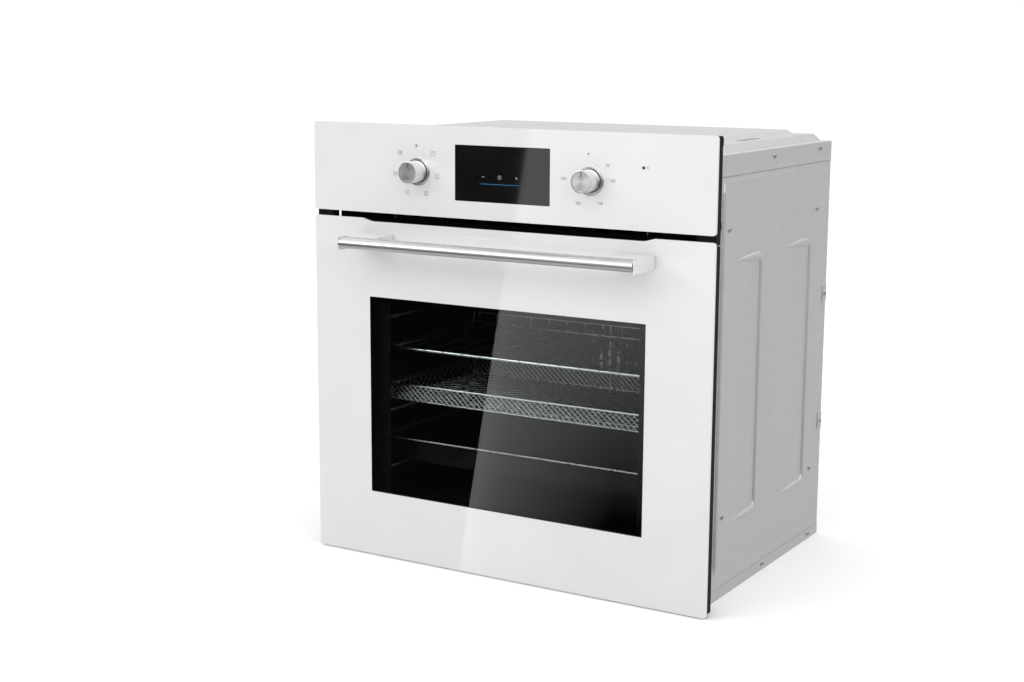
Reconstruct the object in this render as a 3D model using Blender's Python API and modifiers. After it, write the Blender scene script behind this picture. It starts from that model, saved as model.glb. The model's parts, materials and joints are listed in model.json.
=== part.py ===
"""Built-in wall oven, 595 mm wide and high, as an assembly of separate sub-parts.

Metres, +Z up, +X to the right when facing the oven, and the door faces -Y. The origin is on the ground
plane, in the middle of the oven's overall width and depth. Depths below are distances behind the front
face of the glass, so a depth d lies at y = FRONT_Y + d, and anything in front of the glass is negative.
"""

import math

import bmesh
import bpy
from mathutils import Matrix

# Overall size
FRONT_WIDTH = 0.595
FRONT_TOP = 0.595
BODY_DEPTH = 0.430
HANDLE_REACH = 0.058
TERMINAL_BOX_DEPTH = 0.020
FRONT_Y = HANDLE_REACH - (HANDLE_REACH + BODY_DEPTH + TERMINAL_BOX_DEPTH) / 2

# Fits and stock thicknesses
GAP = 0.0004
GLASS = 0.004
SHEET = 0.0008
WIRE = 0.005

# Front: door below, control panel above, and an air gap between them
HALF_WIDTH = FRONT_WIDTH / 2
DOOR_BOTTOM = 0.0015
DOOR_TOP = 0.4685
POST_LOW = 0.006
POST_HIGH = 0.463
TOP_RAIL_HALF = 0.2695
TOP_RAIL_Z = (0.4395, 0.4635)
BOTTOM_RAIL_HALF = 0.2450
BOTTOM_RAIL_Z = (0.0060, 0.0360)
PANEL_BOTTOM = 0.4765
CORNER_RADIUS = 0.004
EDGE_DEPTH = 0.0165
CLEAR_DEPTH = 0.0325
DOOR_BACK = 0.0272
INSET = 0.009

# Door hinge axis, which runs along X
PIVOT_DEPTH = 0.014
PIVOT_Z = 0.016
HINGE_X = 0.2573
ARM_NOTCH = 0.0075
PIN_HALF = 0.0112

# Casing of folded sheet
CASING_HALF = 0.278
CASING_FRONT = 0.035
FLANGE = 0.015
CASING_TOP = 0.568
SIDE_TOP = 0.541
FRAME_HALF = 0.288
FRAME_TOP = 0.438

# Cavity, where the food goes
CAVITY_HALF = 0.235
CAVITY_FLOOR = 0.078
CAVITY_ROOF = 0.412
CAVITY_FRONT = 0.0345
CAVITY_BACK = 0.335
CAVITY_SHEET = 0.0012
SHELF_LEVELS = (0.110, 0.153, 0.191, 0.229, 0.281, 0.324)
TRAY_LEVEL, BASKET_LEVEL, RACK_LEVEL = (SHELF_LEVELS[index] for index in (1, 3, 4))
RAIL_INNER = 0.2195
SHELF_HALF = 0.2262
SHELF_FRONT = 0.048
SHELF_BACK = 0.290

# Convection fan, which turns about Y
FAN_Z = 0.245
FAN_RADIUS = 0.068
BAFFLE_FRONT = 0.302

# What is mounted on the back of the cavity
LAMP_X, LAMP_Z, LAMP_HOLE = -0.195, 0.375, 0.018
RING_RADIUS, RING_LEG_X, RING_DEPTH = 0.086, 0.012, 0.319
GRILL_LEG_X, GRILL_Z = 0.040, 0.393
PROBE_EXIT_X, PROBE_Z = 0.165, 0.385
ELEMENT_RADIUS = 0.0032
TERMINAL_DEPTH = CAVITY_BACK + 0.012

# Cooling fan, which turns about X
COOLER_DEPTH = 0.285
COOLER_Z = 0.470
COOLER_RADIUS = 0.027
COOLER_HALF = 0.150

# Controls
LUG_BOTTOM = 0.4642
LUG_INNER = 0.270
LUG_INSET = 0.0006
LUG_DEPTHS = (0.0052, 0.0175)
DISPLAY_HALF = 0.0705
DISPLAY_LOW = 0.4995
DISPLAY_HIGH = 0.5715
KNOB_X = 0.128
KNOB_Z = 0.5345
KNOB_RADIUS = 0.014
KNOB_REACH = 0.025
KNOB_SOCKET = 0.0034
SELECTOR_BODY = (0.020, 0.034)
THERMOSTAT_BODY = (0.018, 0.030)
SPINDLE_RADIUS = 0.003
BEZEL_INNER = 0.0148
BEZEL_OUTER = 0.0188
GLASS_HOLE = 0.0166
PILOT_X = 0.2006
PILOT_Z = 0.5532

# Handle
HANDLE_HALF = 0.219
HANDLE_Z = 0.4398
HANDLE_NOSE = 0.0068
HANDLE_BACK = 0.0365
HANDLE_CAP = 0.0022
BRACKET_INNER = 0.168
BRACKET_DROP = 0.0093
BRACKET_RISE = 0.0087

# Colour, roughness and metallic value of each finish
FINISHES = {
    "white_glass": ((0.86, 0.87, 0.87), 0.08, 0.0),
    "white_plastic": ((0.88, 0.88, 0.88), 0.35, 0.0),
    "black_plastic": ((0.015, 0.015, 0.016), 0.45, 0.0),
    "clear_glass": ((0.20, 0.22, 0.22), 0.03, 0.0),
    "galvanised_steel": ((0.60, 0.61, 0.61), 0.42, 0.9),
    "black_enamel": ((0.02, 0.02, 0.023), 0.25, 0.0),
    "chromed_wire": ((0.75, 0.75, 0.76), 0.15, 1.0),
    "stainless_steel": ((0.62, 0.62, 0.62), 0.28, 1.0),
    "brushed_aluminium": ((0.72, 0.72, 0.73), 0.30, 1.0),
    "heating_tube": ((0.16, 0.15, 0.14), 0.50, 0.7),
    "glass_wool": ((0.75, 0.72, 0.60), 0.95, 0.0),
    "white_ceramic": ((0.80, 0.78, 0.72), 0.50, 0.0),
    "motor_steel": ((0.30, 0.30, 0.31), 0.45, 0.8),
    "seal_rubber": ((0.04, 0.04, 0.04), 0.80, 0.0),
    "red_lens": ((0.45, 0.03, 0.02), 0.20, 0.0),
}

for old in list(bpy.data.objects):
    bpy.data.objects.remove(old)

PARTS = bpy.data.collections.new("wall_oven")
CUTTERS = bpy.data.collections.new("cutters")
for group in (PARTS, CUTTERS):
    bpy.context.scene.collection.children.link(group)


def depth_y(depth):
    """The Y of a point that lies depth behind the front face."""
    return FRONT_Y + depth


def finish(obj, finish_name):
    """Gives the object its own material with that finish."""
    colour, roughness, metallic = FINISHES[finish_name]
    material = bpy.data.materials.new(f"{obj.name}_{finish_name}")
    material.use_nodes = True
    shader = material.node_tree.nodes["Principled BSDF"]
    shader.inputs["Base Color"].default_value = (*colour, 1.0)
    shader.inputs["Roughness"].default_value = roughness
    shader.inputs["Metallic"].default_value = metallic
    obj.data.materials.clear()
    obj.data.materials.append(material)
    return obj


def add(name, data, finish_name=None):
    """A new object: a part if it has a finish, and a hidden cutter if it hasn't."""
    obj = bpy.data.objects.new(name, data)
    if finish_name:
        PARTS.objects.link(obj)
        return finish(obj, finish_name)
    CUTTERS.objects.link(obj)
    obj.hide_render = True
    obj.display_type = "WIRE"
    return obj


def fill_mesh(name, build, finish_name=None):
    """An object whose mesh the function build makes in an empty bmesh."""
    mesh = bpy.data.meshes.new(name)
    shape = bmesh.new()
    build(shape)
    bmesh.ops.recalc_face_normals(shape, faces=shape.faces)
    shape.to_mesh(mesh)
    shape.free()
    return add(name, mesh, finish_name)


def add_cube(shape, x, depth, z):
    """Adds a box to a bmesh, from three pairs of limits."""
    y = (depth_y(depth[0]), depth_y(depth[1]))
    size = [high - low for low, high in (x, y, z)]
    middle = [(low + high) / 2 for low, high in (x, y, z)]
    place = Matrix.Translation(middle) @ Matrix.Diagonal((*size, 1.0))
    return bmesh.ops.create_cube(shape, size=1.0, matrix=place)["verts"]


def box(name, x, depth, z, finish_name=None):
    """A plain block."""
    return fill_mesh(name, lambda shape: add_cube(shape, x, depth, z), finish_name)


def boxes(name, limits):
    """One cutter made of several blocks, each given as its limits in X, depth and Z."""

    def build(shape):
        for x, depth, z in limits:
            add_cube(shape, x, depth, z)

    return fill_mesh(name, build)


def rods(name, axis, places, segments=16):
    """One cutter of round rods along axis X or Y. A place is (x, z, radius, from, to) with depths for
    an axis along Y, and (depth, z, radius, from, to) with X values for an axis along X."""
    turn = Matrix.Rotation(math.pi / 2, 4, "X" if axis == "Y" else "Y")

    def build(shape):
        for across, z, radius, start, end in places:
            middle = (start + end) / 2
            at = (across, depth_y(middle), z) if axis == "Y" else (middle, depth_y(across), z)
            bmesh.ops.create_cone(
                shape,
                cap_ends=True,
                segments=segments,
                radius1=radius,
                radius2=radius,
                depth=end - start,
                matrix=Matrix.Translation(at) @ turn,
            )

    return fill_mesh(name, build)


def boolean(obj, other, operation="DIFFERENCE"):
    """Adds an exact Boolean of obj with the cutter other."""
    modifier = obj.modifiers.new(f"{operation.lower()}_{other.name}", "BOOLEAN")
    modifier.operation = operation
    modifier.solver = "EXACT"
    modifier.object = other
    return obj


def soften(obj, width, segments=2):
    """Rounds the object's sharp edges."""
    modifier = obj.modifiers.new("soft_edges", "BEVEL")
    modifier.width = width
    modifier.segments = segments
    modifier.limit_method = "ANGLE"
    return obj


def sheet_shell(obj, thickness, offset):
    """Gives an open surface its thickness: offset -1 adds it inwards, 1 outwards."""
    modifier = obj.modifiers.new("sheet", "SOLIDIFY")
    modifier.thickness = thickness
    modifier.offset = offset
    modifier.use_even_offset = True
    return obj


def open_box(name, x, depth, z, open_sides, thickness, offset, finish_name):
    """A box of sheet with some sides left out, each named by its outward normal, such as (0, -1, 0)."""

    def build(shape):
        add_cube(shape, x, depth, z)
        shape.normal_update()
        missing = [
            face
            for face in shape.faces
            if any(face.normal.dot(side) > 0.9 for side in open_sides)
        ]
        bmesh.ops.delete(shape, geom=missing, context="FACES")

    return sheet_shell(fill_mesh(name, build, finish_name), thickness, offset)


def arc(centre, radius, start, end, steps):
    """Points on a circle in a plane, from the start to the end angle in degrees."""
    angles = [math.radians(start + (end - start) * i / steps) for i in range(steps + 1)]
    return [(centre[0] + radius * math.cos(a), centre[1] + radius * math.sin(a)) for a in angles]


def circle(centre, radius, segments=24):
    """A closed round loop."""
    return arc(centre, radius, 0, 360, segments)[:-1]


def rectangle(low, high, radius=0.0, steps=3):
    """A closed rectangular loop, with rounded corners if it has a radius."""
    (left, bottom), (right, top) = low, high
    if not radius:
        return [(left, bottom), (right, bottom), (right, top), (left, top)]
    corners = (
        ((right - radius, bottom + radius), -90),
        ((right - radius, top - radius), 0),
        ((left + radius, top - radius), 90),
        ((left + radius, bottom + radius), 180),
    )
    return [p for centre, start in corners for p in arc(centre, radius, start, start + 90, steps)]


TURNS = {"X": (math.pi / 2, 0, math.pi / 2), "Y": (math.pi / 2, 0, 0), "Z": (0, 0, 0)}


def plate(name, axis, loops, start, end, finish_name):
    """A flat outline with holes, extruded along axis. Its loops are (x, z) for an axis along Y, (depth, z)
    for X and (x, depth) for Z, and start and end are depths for Y."""
    curve = bpy.data.curves.new(name, "CURVE")
    curve.dimensions = "2D"
    curve.fill_mode = "BOTH"
    curve.extrude = abs(end - start) / 2
    for loop in loops:
        spline = curve.splines.new("POLY")
        spline.points.add(len(loop) - 1)
        for point, (across, up) in zip(spline.points, loop):
            point.co = (across, up, 0.0, 1.0)
        spline.use_cyclic_u = True
    obj = add(name, curve, finish_name)
    middle = (start + end) / 2
    obj.rotation_euler = TURNS[axis]
    obj.location = {
        "X": (middle, FRONT_Y, 0.0),
        "Y": (0.0, depth_y(middle), 0.0),
        "Z": (0.0, FRONT_Y, middle),
    }[axis]
    return obj


def as_mesh(curve_object, finish_name=None):
    """Turns a curve object into a welded mesh object, which can take and make Booleans."""
    bpy.context.view_layer.update()
    evaluated = curve_object.evaluated_get(bpy.context.evaluated_depsgraph_get())
    mesh = bpy.data.meshes.new_from_object(evaluated)
    shape = bmesh.new()
    shape.from_mesh(mesh)
    bmesh.ops.remove_doubles(shape, verts=shape.verts, dist=0.00001)
    bmesh.ops.recalc_face_normals(shape, faces=shape.faces)
    shape.to_mesh(mesh)
    shape.free()
    name = curve_object.name
    place = curve_object.matrix_world.copy()
    bpy.data.objects.remove(curve_object)
    obj = add(name, mesh, finish_name)
    obj.matrix_world = place
    return obj


def turned(name, profile, x, depth, z, finish_name, steps=24):
    """A turned shape on an axis along Y. The profile is (radius, distance in front of depth), and runs
    from the front end of the axis, down the outside, to the back end."""
    mesh = bpy.data.meshes.new(name)
    points = [(radius, 0.0, ahead) for radius, ahead in profile]
    mesh.from_pydata(points, [(i, i + 1) for i in range(len(points) - 1)], [])
    obj = add(name, mesh, finish_name)
    obj.location = (x, depth_y(depth), z)
    obj.rotation_euler = (math.pi / 2, 0, 0)
    screw = obj.modifiers.new("turn", "SCREW")
    screw.steps = steps
    screw.render_steps = steps
    screw.use_merge_vertices = True
    screw.merge_threshold = 0.00001
    return obj


def tube(name, points, radius, finish_name):
    """A round wire or tube through points in X, depth and Z."""
    curve = bpy.data.curves.new(name, "CURVE")
    curve.dimensions = "3D"
    curve.bevel_depth = radius
    curve.bevel_resolution = 2
    curve.use_fill_caps = True
    spline = curve.splines.new("POLY")
    spline.points.add(len(points) - 1)
    for point, (x, depth, z) in zip(spline.points, points):
        point.co = (x, depth_y(depth), z, 1.0)
    return add(name, curve, finish_name)


def both_sides(make, base_name):
    """Makes a left and a right copy of a piece: make(name, side) with side -1 and 1."""
    return [make(f"{base_name}_{word}", side) for word, side in (("left", -1), ("right", 1))]


def span(side, inner, outer):
    """The X limits of a piece that lies between two distances from the middle, on one side."""
    return tuple(sorted((side * inner, side * outer)))


def as_part(obj, finish_name):
    """Moves a cutter to the parts, with a finish."""
    CUTTERS.objects.unlink(obj)
    PARTS.objects.link(obj)
    obj.hide_render = False
    obj.display_type = "TEXTURED"
    return finish(obj, finish_name)


def set_origin(obj, at):
    """Puts a mesh object's origin at a point in X, depth and Z, and leaves its shape where it is."""
    x, depth, z = at
    place = Matrix.Translation((x, depth_y(depth), z))
    obj.data.transform(place.inverted() @ obj.matrix_basis)
    obj.matrix_basis = place
    return obj


def carry(name, at, pieces):
    """Parents pieces to an empty that stands on the axis they move about or along."""
    empty = bpy.data.objects.new(name, None)
    PARTS.objects.link(empty)
    empty.location = at
    for piece in pieces:
        piece.parent = empty
        piece.matrix_parent_inverse = Matrix.Translation(at).inverted()


def base_plate():
    """Base tray with turned-up flanges, notched at the front for the two hinge arms."""
    limits = ((-CASING_HALF, CASING_HALF), (CASING_FRONT, BODY_DEPTH), (0.0, FLANGE))
    tray = open_box("base_plate", *limits, [(0, 0, 1)], SHEET, -1, "galvanised_steel")
    depths, heights = (CASING_FRONT - 0.005, CASING_FRONT + 0.005), (ARM_NOTCH, FLANGE + 0.005)
    notches = [(span(side, HINGE_X - ARM_NOTCH, HINGE_X + ARM_NOTCH), depths, heights) for side in (-1, 1)]
    boolean(tray, boxes("arm_notches", notches))


def side_panel(name, side):
    """Side of the casing, with a flange turned in at the front and the back."""
    web = CASING_HALF
    outer = [(web - FLANGE, CASING_FRONT), (web, CASING_FRONT)]
    outer += [(web, BODY_DEPTH - 2 * SHEET), (web - FLANGE, BODY_DEPTH - 2 * SHEET)]
    inner = [(web - FLANGE, BODY_DEPTH - 3 * SHEET), (web - SHEET, BODY_DEPTH - 3 * SHEET)]
    inner += [(web - SHEET, CASING_FRONT + SHEET), (web - FLANGE, CASING_FRONT + SHEET)]
    loop = [(side * x, depth) for x, depth in outer + inner]
    plate(name, "Z", [loop], FLANGE + GAP, SIDE_TOP - GAP, "galvanised_steel")


def top_cover():
    """Lid of the casing, with two raised steps stamped in it and flanges turned down."""
    raised = ((0.016, 0.010, 0.012), (0.030, 0.006, 0.010))

    def build(shape):
        limits = ((-CASING_HALF, CASING_HALF), (CASING_FRONT, BODY_DEPTH), (SIDE_TOP, CASING_TOP))
        add_cube(shape, *limits)
        shape.normal_update()
        below = [face for face in shape.faces if face.normal.z < -0.9]
        bmesh.ops.delete(shape, geom=below, context="FACES_ONLY")
        lid = [face for face in shape.faces if face.normal.z > 0.9]
        for margin, rise, slope in raised:
            for width, lift in ((margin, 0.0), (slope, rise)):
                bmesh.ops.inset_region(shape, faces=lid, thickness=width)
                bmesh.ops.translate(shape, verts=lid[0].verts[:], vec=(0, 0, lift))

    obj = fill_mesh("top_cover", build, "galvanised_steel")
    sheet_shell(obj, SHEET, -1)


def rear_cover():
    """Back of the casing, with two rows of ventilation slots."""
    half = CASING_HALF - SHEET - GAP
    count, pitch, slot, slot_low, slot_high, group_x = 9, 0.014, 0.005, 0.10, 0.17, 0.15
    loops = [rectangle((-half, FLANGE + GAP), (half, SIDE_TOP - GAP))]
    for middle in (-group_x, group_x):
        for i in range(count):
            x = middle + (i - (count - 1) / 2) * pitch
            loops.append(rectangle((x - slot / 2, slot_low), (x + slot / 2, slot_high)))
    plate("rear_cover", "Y", loops, BODY_DEPTH - SHEET, BODY_DEPTH, "galvanised_steel")


def front_frame():
    """Flat frame round the cavity's mouth. Its edges bear on the cabinet, and hold the fixing screws."""
    bottom, corner, arm_room, sheet = 0.004, 0.010, 0.010, 0.0015
    screw_x, screw_radius, screw_heights = 0.2835, 0.0022, (0.09, 0.36)
    loops = [rectangle((-FRAME_HALF, bottom), (FRAME_HALF, FRAME_TOP))]
    loops.append(rectangle((-CAVITY_HALF, CAVITY_FLOOR), (CAVITY_HALF, CAVITY_ROOF), corner))
    for side in (-1, 1):
        left, right = span(side, HINGE_X - ARM_NOTCH, HINGE_X + ARM_NOTCH)
        loops.append(rectangle((left, ARM_NOTCH), (right, PIVOT_Z + arm_room)))
        for height in screw_heights:
            loops.append(circle((side * screw_x, height), screw_radius, 8))
    plate("front_frame", "Y", loops, CLEAR_DEPTH, CLEAR_DEPTH + sheet, "black_enamel")


def panel_carrier():
    """Cross member behind the control panel, which carries the switches."""
    spindle_hole, low, high = 0.006, PANEL_BOTTOM + 0.0015, CASING_TOP - 0.002
    loops = [rectangle((-CASING_HALF, low), (CASING_HALF, high))]
    for side in (-1, 1):
        loops.append(circle((side * KNOB_X, KNOB_Z), spindle_hole, 16))
    plate("panel_carrier", "Y", loops, CLEAR_DEPTH + GAP, CASING_FRONT - GAP, "galvanised_steel")


def air_outlet_grille():
    """Slotted strip where the cooling air comes out between the door and the control panel."""
    count, pitch, slot = 13, 0.032, 0.024
    rows = ((0.446, 0.461), (0.467, 0.4735))
    loops = [rectangle((-CASING_HALF, FRAME_TOP + GAP), (CASING_HALF, PANEL_BOTTOM + 0.001))]
    for low, high in rows:
        for i in range(count):
            x = (i - (count - 1) / 2) * pitch
            loops.append(rectangle((x - slot / 2, low), (x + slot / 2, high)))
    plate("air_outlet_grille", "Y", loops, CLEAR_DEPTH, CASING_FRONT - GAP, "black_plastic")


def air_duct():
    """Flat duct that leads the cooling air forward over the insulation."""
    half, low, high, back, wall = 0.190, 0.440, 0.476, 0.240, SHEET
    loops = [rectangle((-half, low), (half, high))]
    loops.append(rectangle((-half + wall, low + wall), (half - wall, high - wall)))
    plate("air_duct", "Y", loops, CASING_FRONT + GAP, back, "galvanised_steel")


def cavity_shell():
    """Enamelled liner, open at the front, with holes in its back for what is mounted there."""
    limits = ((-CAVITY_HALF, CAVITY_HALF), (CAVITY_FRONT, CAVITY_BACK), (CAVITY_FLOOR, CAVITY_ROOF))
    shell = open_box("cavity_shell", *limits, [(0, -1, 0)], CAVITY_SHEET, 1, "black_enamel")
    start, end = CAVITY_BACK - 0.01, CAVITY_BACK + 0.01
    shaft_hole, leg_hole = 0.007, 0.0045
    holes = [(0.0, FAN_Z, shaft_hole, start, end), (LAMP_X, LAMP_Z, LAMP_HOLE, start, end)]
    holes.append((PROBE_EXIT_X, PROBE_Z, leg_hole, start, end))
    for side in (-1, 1):
        holes.append((side * RING_LEG_X, FAN_Z + RING_RADIUS, leg_hole, start, end))
        holes.append((side * GRILL_LEG_X, GRILL_Z, leg_hole, start, end))
    boolean(shell, rods("cavity_holes", "Y", holes))


def insulation_blanket():
    """Glass wool wrapped round the four sides of the cavity."""
    room = CAVITY_SHEET + 2 * GAP
    inner, inner_low, inner_high = CAVITY_HALF + room, 0.060, CAVITY_ROOF + room
    outer, outer_low, outer_high, corner, front = 0.262, 0.044, 0.434, 0.012, CASING_FRONT + 0.003
    loops = [rectangle((-outer, outer_low), (outer, outer_high), corner)]
    loops.append(rectangle((-inner, inner_low), (inner, inner_high)))
    plate("insulation_blanket", "Y", loops, front, CAVITY_BACK, "glass_wool")


def ring_element():
    """Round heater behind the baffle, with its two legs through the back of the cavity."""
    turn = math.degrees(math.asin(RING_LEG_X / RING_RADIUS))
    ring = arc((0.0, FAN_Z), RING_RADIUS, 90 + turn, 450 - turn, 26)
    legs = [ring[0], ring[-1]]
    points = [(x, RING_DEPTH, z) for x, z in ring]
    points = [(legs[0][0], TERMINAL_DEPTH, legs[0][1]), *points, (legs[1][0], TERMINAL_DEPTH, legs[1][1])]
    tube("ring_element", points, ELEMENT_RADIUS, "heating_tube")


def grill_element():
    """Upper heater, a serpentine of tube under the roof of the cavity."""
    passes, pitch, near, far, bend = 6, 0.054, 0.070, 0.280, 0.010
    edge = pitch * (passes - 1) / 2
    points = [(-GRILL_LEG_X, TERMINAL_DEPTH), (-GRILL_LEG_X, 0.300 + bend), (-GRILL_LEG_X - bend, 0.300)]
    points += [(-edge + bend, 0.300), (-edge, 0.300 - bend)]
    for i in range(passes - 1):
        x = i * pitch - edge
        turn, toward = (near, bend) if i % 2 == 0 else (far, -bend)
        points += [(x, turn + toward), (x + bend, turn), (x + pitch - bend, turn), (x + pitch, turn + toward)]
    points += [(edge, 0.300 - bend), (edge - bend, 0.300), (GRILL_LEG_X + bend, 0.300)]
    points += [(GRILL_LEG_X, 0.300 + bend), (GRILL_LEG_X, TERMINAL_DEPTH)]
    tube("grill_element", [(x, depth, GRILL_Z) for x, depth in points], ELEMENT_RADIUS, "heating_tube")


def bottom_element():
    """Lower heater, under the floor of the cavity."""
    half, near, far, bend = 0.170, 0.080, 0.290, 0.020
    z = CAVITY_FLOOR - 0.010
    front = [(-half, far), (-half, near + bend), (-half + bend, near)]
    front += [(half - bend, near), (half, near + bend), (half, far)]
    points = [(-GRILL_LEG_X, TERMINAL_DEPTH), (-GRILL_LEG_X, far + bend), (-half + bend, far + bend)]
    points += [*front, (half - bend, far + bend), (GRILL_LEG_X, far + bend), (GRILL_LEG_X, TERMINAL_DEPTH)]
    tube("bottom_element", [(x, depth, z) for x, depth in points], ELEMENT_RADIUS, "heating_tube")


def fan_baffle():
    """Pressed plate in front of the convection fan, with intake slots and side outlets."""
    half_x, half_z = 0.150, 0.130
    limits = ((-half_x, half_x), (BAFFLE_FRONT, CAVITY_BACK - GAP), (FAN_Z - half_z, FAN_Z + half_z))
    baffle = open_box("fan_baffle", *limits, [(0, 1, 0)], SHEET, -1, "black_enamel")
    through = (BAFFLE_FRONT - 0.005, BAFFLE_FRONT + 0.005)
    slots = []
    for i in range(7):
        x = (i - 3) * 0.014
        reach = math.sqrt(0.052**2 - x**2)
        slots.append(((x - 0.004, x + 0.004), through, (FAN_Z - reach, FAN_Z + reach)))
    for side in (-1, 1):
        for i in range(5):
            z = FAN_Z + (i - 2) * 0.040
            slots.append((span(side, 0.108, 0.134), through, (z - 0.004, z + 0.004)))
    boolean(baffle, boxes("baffle_slots", slots))


def fan_motor():
    """Motor of the convection fan, with a blind hole for its shaft."""
    half, front, back, edge = 0.030, 0.345, 0.390, 0.004
    bore, bore_front, bore_back = 0.0042, 0.335, 0.380
    motor = box("fan_motor", (-half, half), (front, back), (FAN_Z - half, FAN_Z + half), "motor_steel")
    soften(motor, edge)
    boolean(motor, rods("fan_motor_bore", "Y", [(0.0, FAN_Z, bore, bore_front, bore_back)]))


def convection_fan_wheel():
    """Paddle wheel on its shaft, which turns about Y."""
    blades, hub, half_blade = 8, 0.018, 0.0016
    front, back, blade_inset, centre = 0.306, 0.330, 0.002, 0.317
    shaft, shaft_front, shaft_back = 0.0038, 0.310, 0.378
    disc = rods("convection_fan_wheel", "Y", [(0.0, FAN_Z, hub, front, back)], 24)
    wheel = as_part(disc, "stainless_steel")

    def build(shape):
        for i in range(blades):
            turn = Matrix.Rotation(2 * math.pi * i / blades, 4, "Y")
            depths = (front + blade_inset, back - blade_inset)
            blade = add_cube(shape, (hub / 2, FAN_RADIUS), depths, (-half_blade, half_blade))
            bmesh.ops.transform(shape, matrix=Matrix.Translation((0, 0, FAN_Z)) @ turn, verts=blade)

    boolean(wheel, fill_mesh("fan_blades", build), "UNION")
    boolean(wheel, rods("fan_shaft", "Y", [(0.0, FAN_Z, shaft, shaft_front, shaft_back)]), "UNION")
    return set_origin(wheel, (0.0, centre, FAN_Z))


def cooling_fan_drum():
    """Drum of the cooling fan on its shaft, which turns about X."""
    blades, root = 14, 0.021
    tooth = ((root, -5), (COOLER_RADIUS, -3), (COOLER_RADIUS, 3), (root, 5))
    loop = []
    for i in range(blades):
        middle = 360 * i / blades
        for radius, turn in tooth:
            angle = math.radians(middle + turn)
            loop.append((COOLER_DEPTH + radius * math.cos(angle), COOLER_Z + radius * math.sin(angle)))
    outline = plate("cooling_fan_drum", "X", [loop], -COOLER_HALF, COOLER_HALF, "galvanised_steel")
    drum = as_mesh(outline, "galvanised_steel")
    shaft = rods("drum_shaft", "X", [(COOLER_DEPTH, COOLER_Z, 0.004, COOLER_HALF - 0.01, COOLER_HALF + 0.03)])
    set_origin(boolean(drum, shaft, "UNION"), (0.0, COOLER_DEPTH, COOLER_Z))
    return drum


def cooling_fan_motor():
    """Motor at the right end of the cooling fan, with a blind hole for its shaft."""
    half, near, far, edge = 0.024, COOLER_HALF + 0.012, COOLER_HALF + 0.052, 0.004
    bore, bore_end = 0.0044, COOLER_HALF + 0.034
    limits = ((near, far), (COOLER_DEPTH - half, COOLER_DEPTH + half), (COOLER_Z - half, COOLER_Z + half))
    motor = soften(box("cooling_fan_motor", *limits, "motor_steel"), edge)
    boolean(motor, rods("drum_motor_bore", "X", [(COOLER_DEPTH, COOLER_Z, bore, COOLER_HALF, bore_end)]))


def lamp():
    """Oven lamp: a ceramic holder behind the cavity, a bulb, and a glass lens inside the cavity."""
    front, floor, back, bore, outside = -0.0002, -0.026, -0.036, 0.0140, 0.0168
    profile = [(0.0, floor), (bore, floor), (bore, front), (outside, front), (outside, back), (0.0, back)]
    turned("lamp_holder", profile, LAMP_X, CAVITY_BACK, LAMP_Z, "white_ceramic")
    dome = arc((0.0, 0.004), 0.010, 90, 0, 5)
    bulb = [*dome, (0.008, -0.014), (0.006, floor + GAP), (0.0, floor + GAP)]
    turned("lamp_bulb", [(max(r, 0.0), a) for r, a in bulb], LAMP_X, CAVITY_BACK, LAMP_Z, "clear_glass")
    outer = arc((0.0, 0.0), 0.019, 90, 10, 6)
    inner = arc((0.0, 0.0), 0.0165, 10, 90, 6)
    rim = [(0.022, 0.0034), (0.022, 0.0004), (0.0165, 0.0004)]
    lens = [(max(r, 0.0), a) for r, a in [*outer, *rim, *inner]]
    turned("lamp_lens", lens, LAMP_X, CAVITY_BACK, LAMP_Z, "clear_glass")


def temperature_probe():
    """Sensing bulb of the thermostat, under the roof of the cavity."""
    depth = CAVITY_BACK - 0.014
    points = [(0.075, depth), (PROBE_EXIT_X - 0.006, depth), (PROBE_EXIT_X, depth + 0.006)]
    points.append((PROBE_EXIT_X, TERMINAL_DEPTH))
    tube("temperature_probe", [(x, d, PROBE_Z) for x, d in points], 0.0028, "stainless_steel")


def shelf_ladder(name, side):
    """Side rack that carries the shelves: a flat frame with a rail at each level."""
    low, high, web, bar, trim = 0.094, 0.352, 0.2278, WIRE / 2, 0.0003
    front, back = SHELF_FRONT + 0.004, SHELF_BACK
    frame = box(name, span(side, web, CAVITY_HALF - 2 * GAP), (front, back), (low, high), "chromed_wire")
    edges = (low + bar, *SHELF_LEVELS, high - bar)
    columns = (front + bar, (front + back) / 2, back - bar)
    through = span(side, web - 0.010, CAVITY_HALF + 0.010)
    windows = []
    for bottom, top in zip(edges, edges[1:]):
        for near, far in zip(columns, columns[1:]):
            windows.append((through, (near + bar, far - bar), (bottom + bar, top - bar)))
    boolean(frame, boxes(f"{name}_windows", windows))
    rails = []
    for level in SHELF_LEVELS:
        height = (level - bar + trim, level + bar)
        rails.append((span(side, RAIL_INNER, web + 0.002), (front + trim, back - trim), height))
    return boolean(frame, boxes(f"{name}_rails", rails), "UNION")


def shelf_ladders():
    """Both side racks."""
    both_sides(shelf_ladder, "shelf_ladder")


def lattice(name, level, height, cells, bar, finish_name):
    """A flat grid of bars that rests on the rails of one shelf level."""
    half = SHELF_HALF
    loops = [rectangle((-half, SHELF_FRONT), (half, SHELF_BACK - 0.002), 0.010)]
    pitch = (2 * half - bar) / cells
    for i in range(cells):
        left = -half + bar + i * pitch
        loops.append(rectangle((left, SHELF_FRONT + WIRE), (left + pitch - bar, SHELF_BACK - 0.002 - WIRE)))
    bottom = level + WIRE / 2 + GAP
    return plate(name, "Z", loops, bottom, bottom + height, finish_name)


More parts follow.
